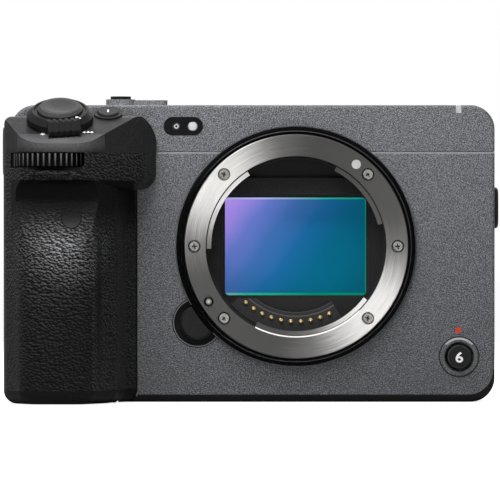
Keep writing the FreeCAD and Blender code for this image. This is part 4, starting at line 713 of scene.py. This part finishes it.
# Painted shadow in the cross recess and round the turned rim of each screw of the mount, every cross turned
# to its own angle
ARM, HALF = 0.8, 0.2
CROSS = [(-HALF, -ARM), (HALF, -ARM), (HALF, -HALF), (ARM, -HALF), (ARM, HALF), (HALF, HALF),
         (HALF, ARM), (-HALF, ARM), (-HALF, HALF), (-ARM, HALF), (-ARM, -HALF), (-HALF, -HALF)]
SCREW_CIRCLE_R = 26.5
SCREW_ANGLES = (0, 45, 135, 180, 225, 315)
SCREW_RIM_SHADOW = (1.5, 1.62)
FIRST_TURN, NEXT_TURN = 17, 31
ASIDE = 0.9  # the line that finds a screw's face passes beside the recess in its middle
for number, degrees in enumerate(SCREW_ANGLES):
    x = SCREW_CIRCLE_R * math.cos(math.radians(degrees))
    z = SCREW_CIRCLE_R * math.sin(math.radians(degrees))
    point, normal = seat_front("mount_screws", x + ASIDE, z + ASIDE)
    turn = Matrix.Rotation(math.radians(FIRST_TURN + NEXT_TURN * number), 4, "Z")
    place = place_on((x, point[1], z), normal) @ turn
    piece(f"screw_recess_shadow_{number}", "camera", "black_metal", RECESS_SHADOW, [CROSS], place, SCREW_MARK)
    piece(f"screw_rim_shadow_{number}", "camera", "black_metal", RECESS_SHADOW, [ring(*SCREW_RIM_SHADOW)], place, SCREW_MARK)

# Zoom signs on the grip's deck: one tree, and a row of three
SIGN_Z = 29.2
for name, x, y, loops in (("tele_sign", -65.2, -20.0, [tree(0, 1.5)]),
                          ("wide_sign", -53.6, -19.0, [tree(u, 1.0) for u in (-0.95, 0, 0.95)])):
    place = place_on(*seat_deck("grip_top_housing", Vector((x, y, SIGN_Z))))
    piece(name, "camera", "lamp_clear", WHITE, loops, place, MARK)

# Small white bar on the zoom ring
ZOOM = Vector((-61.0, -13.1, 32.253))
WHITE_BAR_R = 7.0
WHITE_BAR_ANGLE = math.radians(-46)
outward = Vector((math.cos(WHITE_BAR_ANGLE), 0, 0)) + DECK_BACK * math.sin(WHITE_BAR_ANGLE)
point, normal = seat_deck("zoom_lever", ZOOM + outward * WHITE_BAR_R)
piece("zoom_white_bar", "zoom", "lamp_clear", WHITE, [bar(-0.9, 0.7, 0.4)], place_on(point, normal, outward),
      MARK)

# Short bar on the record button
RECORD = Vector((-48.7, -9.0, 34.253))
place = place_on(*seat_deck("record_button", RECORD))
piece("record_bar", "record", "lamp_clear", WHITE, [bar(-0.2, 0.2, 0.75)], place, MARK)

# Red dot above the front button, and the number on its cap
RED_DOT = (42.36, -21.9)
RED_DOT_R = 0.75
place = place_on(*seat_front("front_cover", *RED_DOT))
piece("red_dot", "camera", "lamp_clear", mark_paint("red_mark", (0.62, 0.05, 0.03)), [disc(RED_DOT_R)],
      place, MARK)
DIGIT_SIZE = 3.7
DIGIT_WIDTH = 1.14
DIGIT_BOLDER = 0.08
DIGIT_DROP = 0.3
digit = bpy.data.curves.new("button_digit", "FONT")
digit.body = "6"
digit.size = DIGIT_SIZE * MM
digit.align_x = "CENTER"
digit.align_y = "CENTER"
digit.extrude = MARK * MM
digit.offset = DIGIT_BOLDER * MM
digit.materials.append(WHITE)
number = bpy.data.objects.new("button_digit", digit)
bpy.context.collection.objects.link(number)
point, normal = seat_front("front_button", *FRONT_BUTTON)
upright = Matrix.Rotation(math.pi / 2, 4, "X") @ Matrix.Diagonal((DIGIT_WIDTH, 1, 1, 1))
number.matrix_world = Matrix.Translation((point - Vector((0, 0, DIGIT_DROP))) * MM) @ upright
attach(number, "custom_button")

# Receiver eye in the front window
RECEIVER = (-31.2, 31.35)
RECEIVER_RIM = (0.62, 0.9)
RECEIVER_R = 0.3
place = place_on(*seat_front("indicator_lenses", *RECEIVER))
piece("receiver_rim", "camera", "black_metal", mark_paint("eye_rim", (0.06, 0.06, 0.062)),
      [ring(*RECEIVER_RIM)], place, RIM_MARK)
piece("receiver_eye", "camera", "gloss_black", SCREEN, [disc(RECEIVER_R)], place, MARK)


# Camera, lamps and floor: places and sizes in metres, the sensor's width in mm

bpy.context.scene.view_settings.view_transform = "Standard"

CAMERA = Vector((-0.01198, -1.5, -0.00095))
SENSOR = 36.0
FRAME_WIDTH = 0.1302
view = bpy.data.cameras.new("view")
view.sensor_width = SENSOR
view.lens = SENSOR * -CAMERA.y / FRAME_WIDTH
view.clip_start = 0.01
eye = bpy.data.objects.new("view", view)
eye.location = CAMERA
eye.rotation_euler = (math.pi / 2, 0, 0)
bpy.context.collection.objects.link(eye)
bpy.context.scene.camera = eye

low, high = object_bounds()
middle = (Vector(low) + Vector(high)) / 2


def lamp(name, offset, size, watts):
    """A soft square lamp aimed at the middle of the camera body."""
    data = bpy.data.lights.new(name, "AREA")
    data.size = size
    data.energy = watts
    obj = bpy.data.objects.new(name, data)
    obj.location = middle + Vector(offset)
    obj.rotation_euler = Vector(offset).to_track_quat("Z", "Y").to_euler()
    bpy.context.collection.objects.link(obj)


lamp("key", (-0.06, -0.17, 0.26), size=0.2, watts=1.25)
lamp("fill", (0.1, -0.8, 0.15), size=0.6, watts=0.2)
lamp("rim", (0.1, 0.5, 0.5), size=0.5, watts=3.0)

# White world for the camera, metal and glass, and a low even light on everything else
AMBIENT = 0.07
world = bpy.data.worlds.new("studio")
world.use_nodes = True
bpy.context.scene.world = world
sky = world.node_tree
background = sky.nodes["Background"]
background.inputs["Color"].default_value = (1, 1, 1, 1)
ray = sky.nodes.new("ShaderNodeLightPath").outputs
seen = math_node(sky, "MAXIMUM", ray["Is Camera Ray"], ray["Is Glossy Ray"])
seen = math_node(sky, "MAXIMUM", seen, ray["Is Transmission Ray"])
level = sky.nodes.new("ShaderNodeMapRange")
level.inputs["To Min"].default_value = AMBIENT
level.inputs["To Max"].default_value = 1.0
sky.links.new(seen, level.inputs["Value"])
sky.links.new(level.outputs[0], background.inputs["Strength"])

# Pale floor that keeps the body's shadow
FLOOR_REACH = 6.0
FLOOR_TONE = 0.9
FLOOR_ROUGH = 0.9
FLOOR_GLOW = 0.9
bm = bmesh.new()
bmesh.ops.create_grid(bm, x_segments=1, y_segments=1, size=FLOOR_REACH)
floor_mesh = bpy.data.meshes.new("floor")
bm.to_mesh(floor_mesh)
bm.free()
floor = bpy.data.objects.new("floor", floor_mesh)
floor.location = (0, 0, low[2])
bpy.context.collection.objects.link(floor)
pale = Mat("pale_floor", FLOOR_TONE, FLOOR_ROUGH, sheen=0.0)
pale.out.inputs["Emission Color"].default_value = (1, 1, 1, 1)
to_camera = pale.node("LightPath").outputs["Is Camera Ray"]
pale.link(pale.math("MULTIPLY", to_camera, FLOOR_GLOW), pale.out.inputs["Emission Strength"])
floor_mesh.materials.append(pale.mat)
